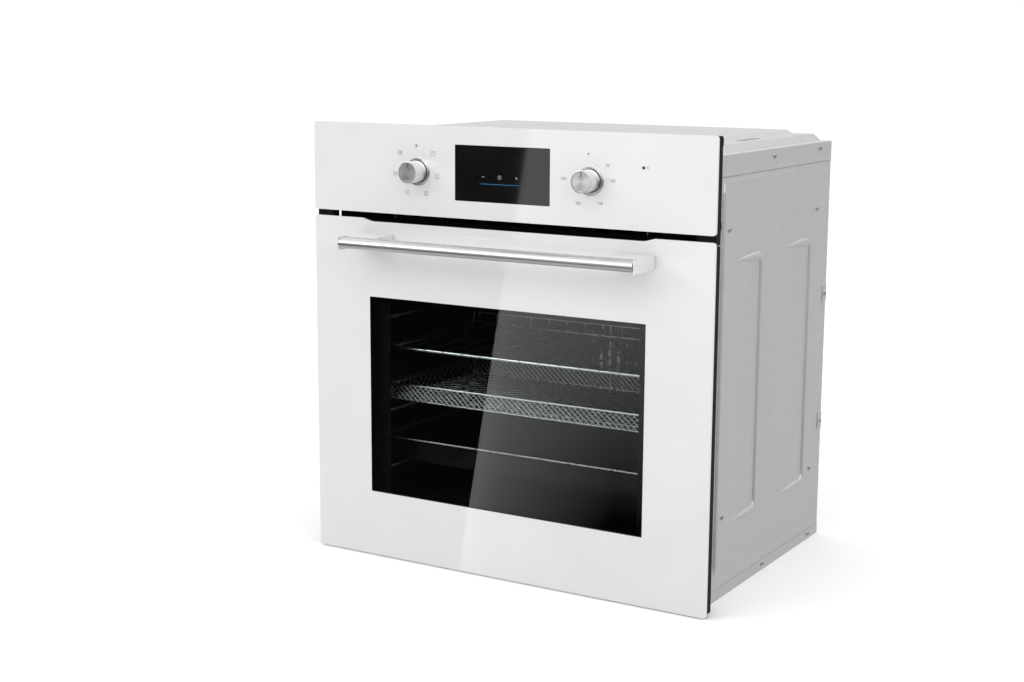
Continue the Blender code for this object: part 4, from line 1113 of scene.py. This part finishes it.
def casing():
    """Everything that dresses the casing."""
    for side in SIDES:
        side_ribs(side)
        side_channel(side)
        side_screws(side)
        edge_clips(side)
    back()
    lid()


# Studio


def world():
    """White surroundings, dark in front of the oven just below the horizon, where its window looks."""
    behind_fade, above_fade, below_fade = (-0.25, 0.35), (0.15, 0.50), (-0.45, -0.65)
    surroundings = bpy.data.worlds.new("studio")
    surroundings.use_nodes = True
    bpy.context.scene.world = surroundings
    tree = surroundings.node_tree
    way = node(tree, "SeparateXYZ", {"Vector": node(tree, "TexCoord").outputs["Generated"]}).outputs
    behind = ranged(tree, way["Y"], WORLD_DARK, WORLD_BEHIND, *behind_fade)
    above = ranged(tree, way["Z"], WORLD_DARK, WORLD_ABOVE, *above_fade)
    below = ranged(tree, way["Z"], WORLD_DARK, WORLD_BELOW, *below_fade)
    strength = maths(tree, "MAXIMUM", maths(tree, "MAXIMUM", behind, above), below)
    seen = node(tree, "LightPath").outputs["Is Camera Ray"]
    final = node(tree, "Mix", {0: seen, 2: strength, 3: WORLD_SEEN}, data_type="FLOAT").outputs[0]
    background = tree.nodes["Background"]
    tree.links.new(final, background.inputs["Strength"])
    background.inputs["Color"].default_value = grey(1.0)


def stage_sheet(name, corners, material):
    """A flat sheet of the studio, which isn't part of the oven."""
    mesh = bpy.data.meshes.new(name)
    mesh.from_pydata(corners, [], [tuple(range(len(corners)))])
    mesh.materials.append(material)
    sheet = bpy.data.objects.new(name, mesh)
    bpy.context.scene.collection.objects.link(sheet)
    return sheet


def floor():
    """Plain pale floor, which glossy and clear surfaces don't show."""
    paint = surface("floor_paint", (grey(0.93), grey(0.95)), (0.75, 0.90), 3.0, Specular_IOR_Level=0.1)
    half = FLOOR_HALF
    corners = [(-half, -half, 0), (half, -half, 0), (half, half, 0), (-half, half, 0)]
    ground = stage_sheet("floor", corners, paint)
    ground.visible_glossy = False
    ground.visible_transmission = False


def card_light():
    """Light of the card, which fades to the right, and faster near the ground."""
    edge_x, far_x, low_z, high_z = -1.785, -1.25, -0.95, 0.1
    low_loss, high_loss = 1.05, 0.20
    material = bpy.data.materials.new("card_light")
    material.use_nodes = True
    tree = material.node_tree
    tree.nodes.remove(tree.nodes["Principled BSDF"])
    place = node(tree, "SeparateXYZ", {"Vector": node(tree, "TexCoord").outputs["Object"]}).outputs
    slanted = maths(tree, "MULTIPLY", place["Z"], -CARD_SLANT)
    across = ranged(tree, maths(tree, "ADD", slanted, place["X"]), 0.0, 1.0, edge_x, far_x)
    fade = ranged(tree, place["Z"], low_loss, high_loss, low_z, high_z)
    lost = maths(tree, "MULTIPLY", maths(tree, "POWER", across, 0.5), fade)
    share = maths(tree, "SUBTRACT", 1.0, lost, use_clamp=True)
    light = node(tree, "Emission", {"Strength": maths(tree, "MULTIPLY", share, CARD_STRENGTH)})
    tree.links.new(light.outputs[0], tree.nodes["Material Output"].inputs["Surface"])
    return material


def card():
    """Big lit card in front of the oven, whose slanted edge the window mirrors."""
    edge = [(-1.378, CARD_HIGH), (-1.740, 0.342), (-1.770, 0.163)]
    edge += [(-1.817, -0.051), (-2.012, -1.188), (-2.09, CARD_LOW)]
    corners = [(x, CARD_Y, z) for x, z in edge]
    corners += [(CARD_RIGHT, CARD_Y, CARD_LOW), (CARD_RIGHT, CARD_Y, CARD_HIGH)]
    board = stage_sheet("card", corners, card_light())
    board.visible_camera = False
    board.visible_shadow = False


def lamp(name, spot, target, width, height, power):
    """Soft rectangular studio lamp."""
    light = bpy.data.lights.new(name, "AREA")
    light.shape = "RECTANGLE"
    light.size = width
    light.size_y = height
    light.energy = power
    holder = bpy.data.objects.new(name, light)
    holder.location = spot
    holder.rotation_euler = (Vector(target) - Vector(spot)).to_track_quat("-Z", "Y").to_euler()
    holder.visible_camera = False
    bpy.context.scene.collection.objects.link(holder)


def lamps():
    """Soft lamps high in front, on the front left and on the right."""
    middle = (0.0, 0.0, 0.3)
    lamp("key", (0.2, -2.7, 2.7), middle, 2.4, 1.6, 12.0)
    lamp("front", (-2.3, -2.9, 1.9), middle, 2.0, 1.2, 27.0)
    lamp("side", (2.9, -1.9, 1.5), (0.2, 0.0, 0.3), 1.6, 1.6, 22.0)


def camera():
    """Camera in front, to the right of the oven and a little above it."""
    lens = bpy.data.cameras.new("camera")
    lens.sensor_width = SENSOR
    lens.lens = LENS
    holder = bpy.data.objects.new("camera", lens)
    turns = ((CAMERA_TURN, "Z"), (90 - CAMERA_DIP, "X"), (CAMERA_ROLL, "Z"))
    pose = Matrix.Translation(CAMERA_SPOT)
    for degrees, axis in turns:
        pose = pose @ Matrix.Rotation(math.radians(degrees), 4, axis)
    holder.matrix_world = pose
    bpy.context.scene.collection.objects.link(holder)
    bpy.context.scene.camera = holder


paint_cad_nodes()
door_front()
handle()
panel_front()
selector_symbols()
thermostat_scale()
display_marks()
for side in SIDES:
    knob(side)
    bezel(side)
shelf_rack()
basket()
tray()
ladders()
casing()
world()
floor()
card()
lamps()
camera()
bpy.context.scene.view_settings.view_transform = "Standard"
